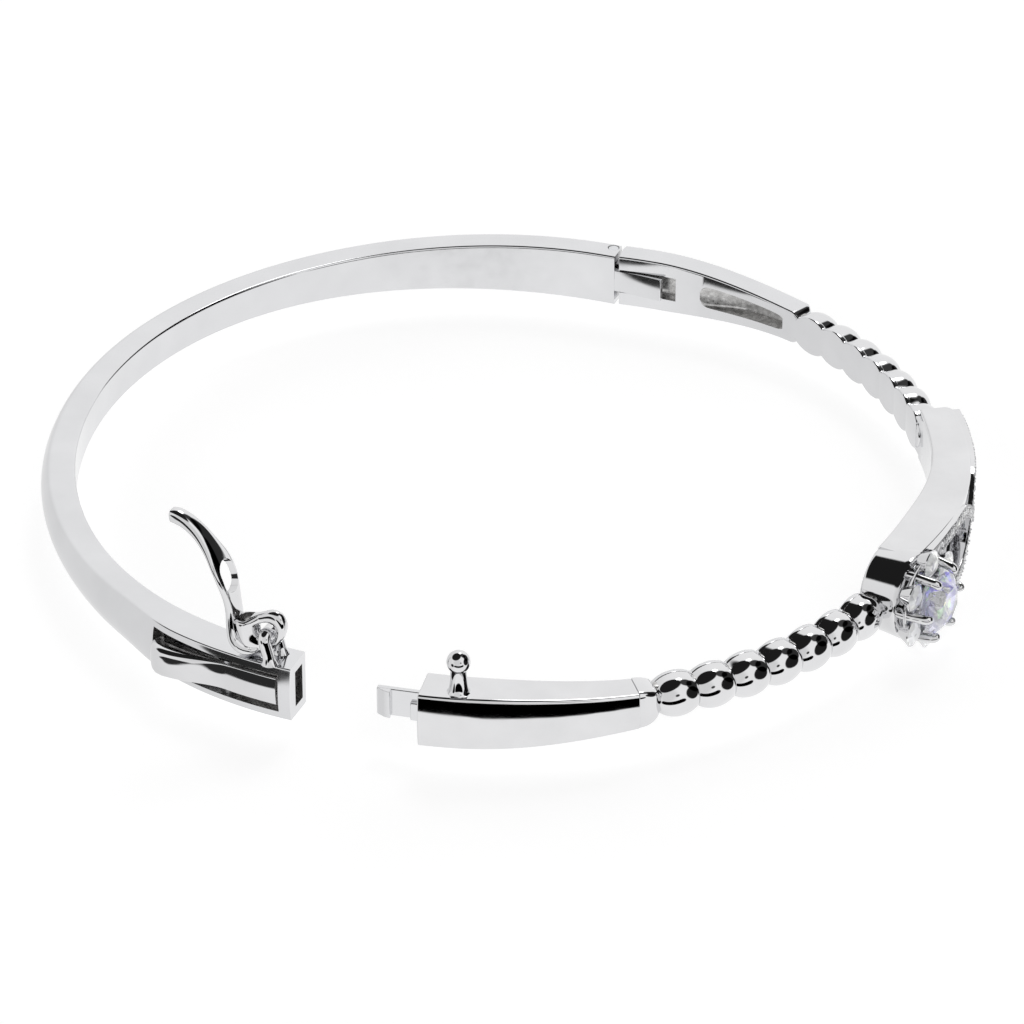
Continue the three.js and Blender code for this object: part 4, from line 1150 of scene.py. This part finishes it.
# ---------- stage, light and camera
def build_floor():
    nodes = Nodes("floor_paper")
    tones = [(0.3, (0.46, 0.46, 0.46)), (0.7, (0.49, 0.49, 0.49))]
    nodes.feed("Base Color", nodes.ramp(nodes.noise(40, 3), tones))
    # Its own glow keeps the paper pale and its shadow faint.
    nodes.fix(Roughness=0.9, Specular_IOR_Level=0.05, Emission_Color=(1, 1, 1, 1), Emission_Strength=0.78)
    size = FLOOR_REACH
    corners = [Vector((x, y, 0)) for x, y in ((-size, -size), (size, -size), (size, size), (-size, size))]
    floor = make_object("floor", (corners, [(0, 1, 2, 3)]), Matrix.Identity(4), [nodes.material])
    # Reflections miss the floor and find the lower half of the world instead.
    floor.visible_glossy = False


# Low row in front of the bangle, which gives the dark band on the tongue segment.
FRONT_ROW = [(azimuth, -18 + 4 * (azimuth / 34) ** 2, 8, 10, 0.02) for azimuth in range(-30, 39, 4)]

# Dark openings of the pale room: azimuth (0 towards the camera, 90 to the right) and elevation,
# inner and outer angle, all in degrees, and the share of the light that is left inside.
OPENINGS = [
    (78, 8, 25, 29, 0.015),
    (104, 26, 24, 29, 0.03),
    (112, 52, 17, 23, 0.05),
    (-80, 72, 36, 41, 0.015),
    (23, 18, 5, 8, 0.06),
    (-56, -13, 12, 15, 0.03),
    *FRONT_ROW,
    (-115, -10, 30, 80, 0.85),
    (-15, 22, 20, 45, 0.8),
]


def build_world():
    """Pale room; reflections find darker openings around it, the camera sees plain white."""
    world = bpy.data.worlds.new("studio")
    bpy.context.scene.world = world
    world.use_nodes = True
    tree = world.node_tree
    background = tree.nodes["Background"]
    direction = tree.nodes.new("ShaderNodeTexCoord").outputs["Generated"]

    def node(kind, **settings):
        made = tree.nodes.new(kind)
        for key, value in settings.items():
            setattr(made, key, value)
        return made

    total = None
    for azimuth, elevation, inner, outer, dark in OPENINGS:
        a = math.radians(azimuth)
        e = math.radians(elevation)
        centre = (math.sin(a) * math.cos(e), -math.cos(a) * math.cos(e), math.sin(e))
        towards = node("ShaderNodeVectorMath", operation="DOT_PRODUCT")
        tree.links.new(direction, towards.inputs[0])
        towards.inputs[1].default_value = centre
        patch = node("ShaderNodeMapRange", interpolation_type="SMOOTHSTEP")
        patch.inputs["From Min"].default_value = math.cos(math.radians(outer))
        patch.inputs["From Max"].default_value = math.cos(math.radians(inner))
        patch.inputs["To Min"].default_value = 1.0
        patch.inputs["To Max"].default_value = dark
        tree.links.new(towards.outputs["Value"], patch.inputs["Value"])
        if total is None:
            total = patch.outputs["Result"]
        else:
            product = node("ShaderNodeMath", operation="MULTIPLY")
            tree.links.new(total, product.inputs[0])
            tree.links.new(patch.outputs["Result"], product.inputs[1])
            total = product.outputs["Value"]
    seen = tree.nodes.new("ShaderNodeLightPath").outputs["Is Camera Ray"]
    plain = node("ShaderNodeMix", data_type="FLOAT")
    tree.links.new(seen, plain.inputs["Factor"])
    tree.links.new(total, plain.inputs["A"])
    plain.inputs["B"].default_value = 1.0
    tree.links.new(plain.outputs["Result"], background.inputs["Strength"])
    background.inputs["Color"].default_value = (1, 1, 1, 1)


def build_light(name, location, size, power):
    data = bpy.data.lights.new(name, "AREA")
    data.shape = "DISK"
    data.size = size
    data.energy = power
    light = bpy.data.objects.new(name, data)
    light.location = location
    light.rotation_euler = (-Vector(location)).to_track_quat("-Z", "Y").to_euler()
    bpy.context.scene.collection.objects.link(light)


def build_camera():
    elevation = math.radians(31.509)
    target = Vector((0.266, -4.856, 3.455)) * MM
    distance = 0.42393
    data = bpy.data.cameras.new("camera")
    data.lens = 221.1
    data.sensor_width = 36.0
    data.clip_start = 0.01
    data.clip_end = 20.0
    camera = bpy.data.objects.new("camera", data)
    camera.location = target + distance * Vector((0, -math.cos(elevation), math.sin(elevation)))
    camera.rotation_euler = (math.pi / 2 - elevation, 0, 0)
    bpy.context.scene.collection.objects.link(camera)
    bpy.context.scene.camera = camera


build_floor()
build_world()
build_light("back_softbox", (0.12, 0.38, 0.62), 0.2, 0.35)
build_camera()
bpy.context.scene.view_settings.view_transform = "Standard"
bpy.context.scene.cycles.max_bounces = 16
bpy.context.scene.cycles.transmission_bounces = 12
bpy.context.scene.cycles.glossy_bounces = 8
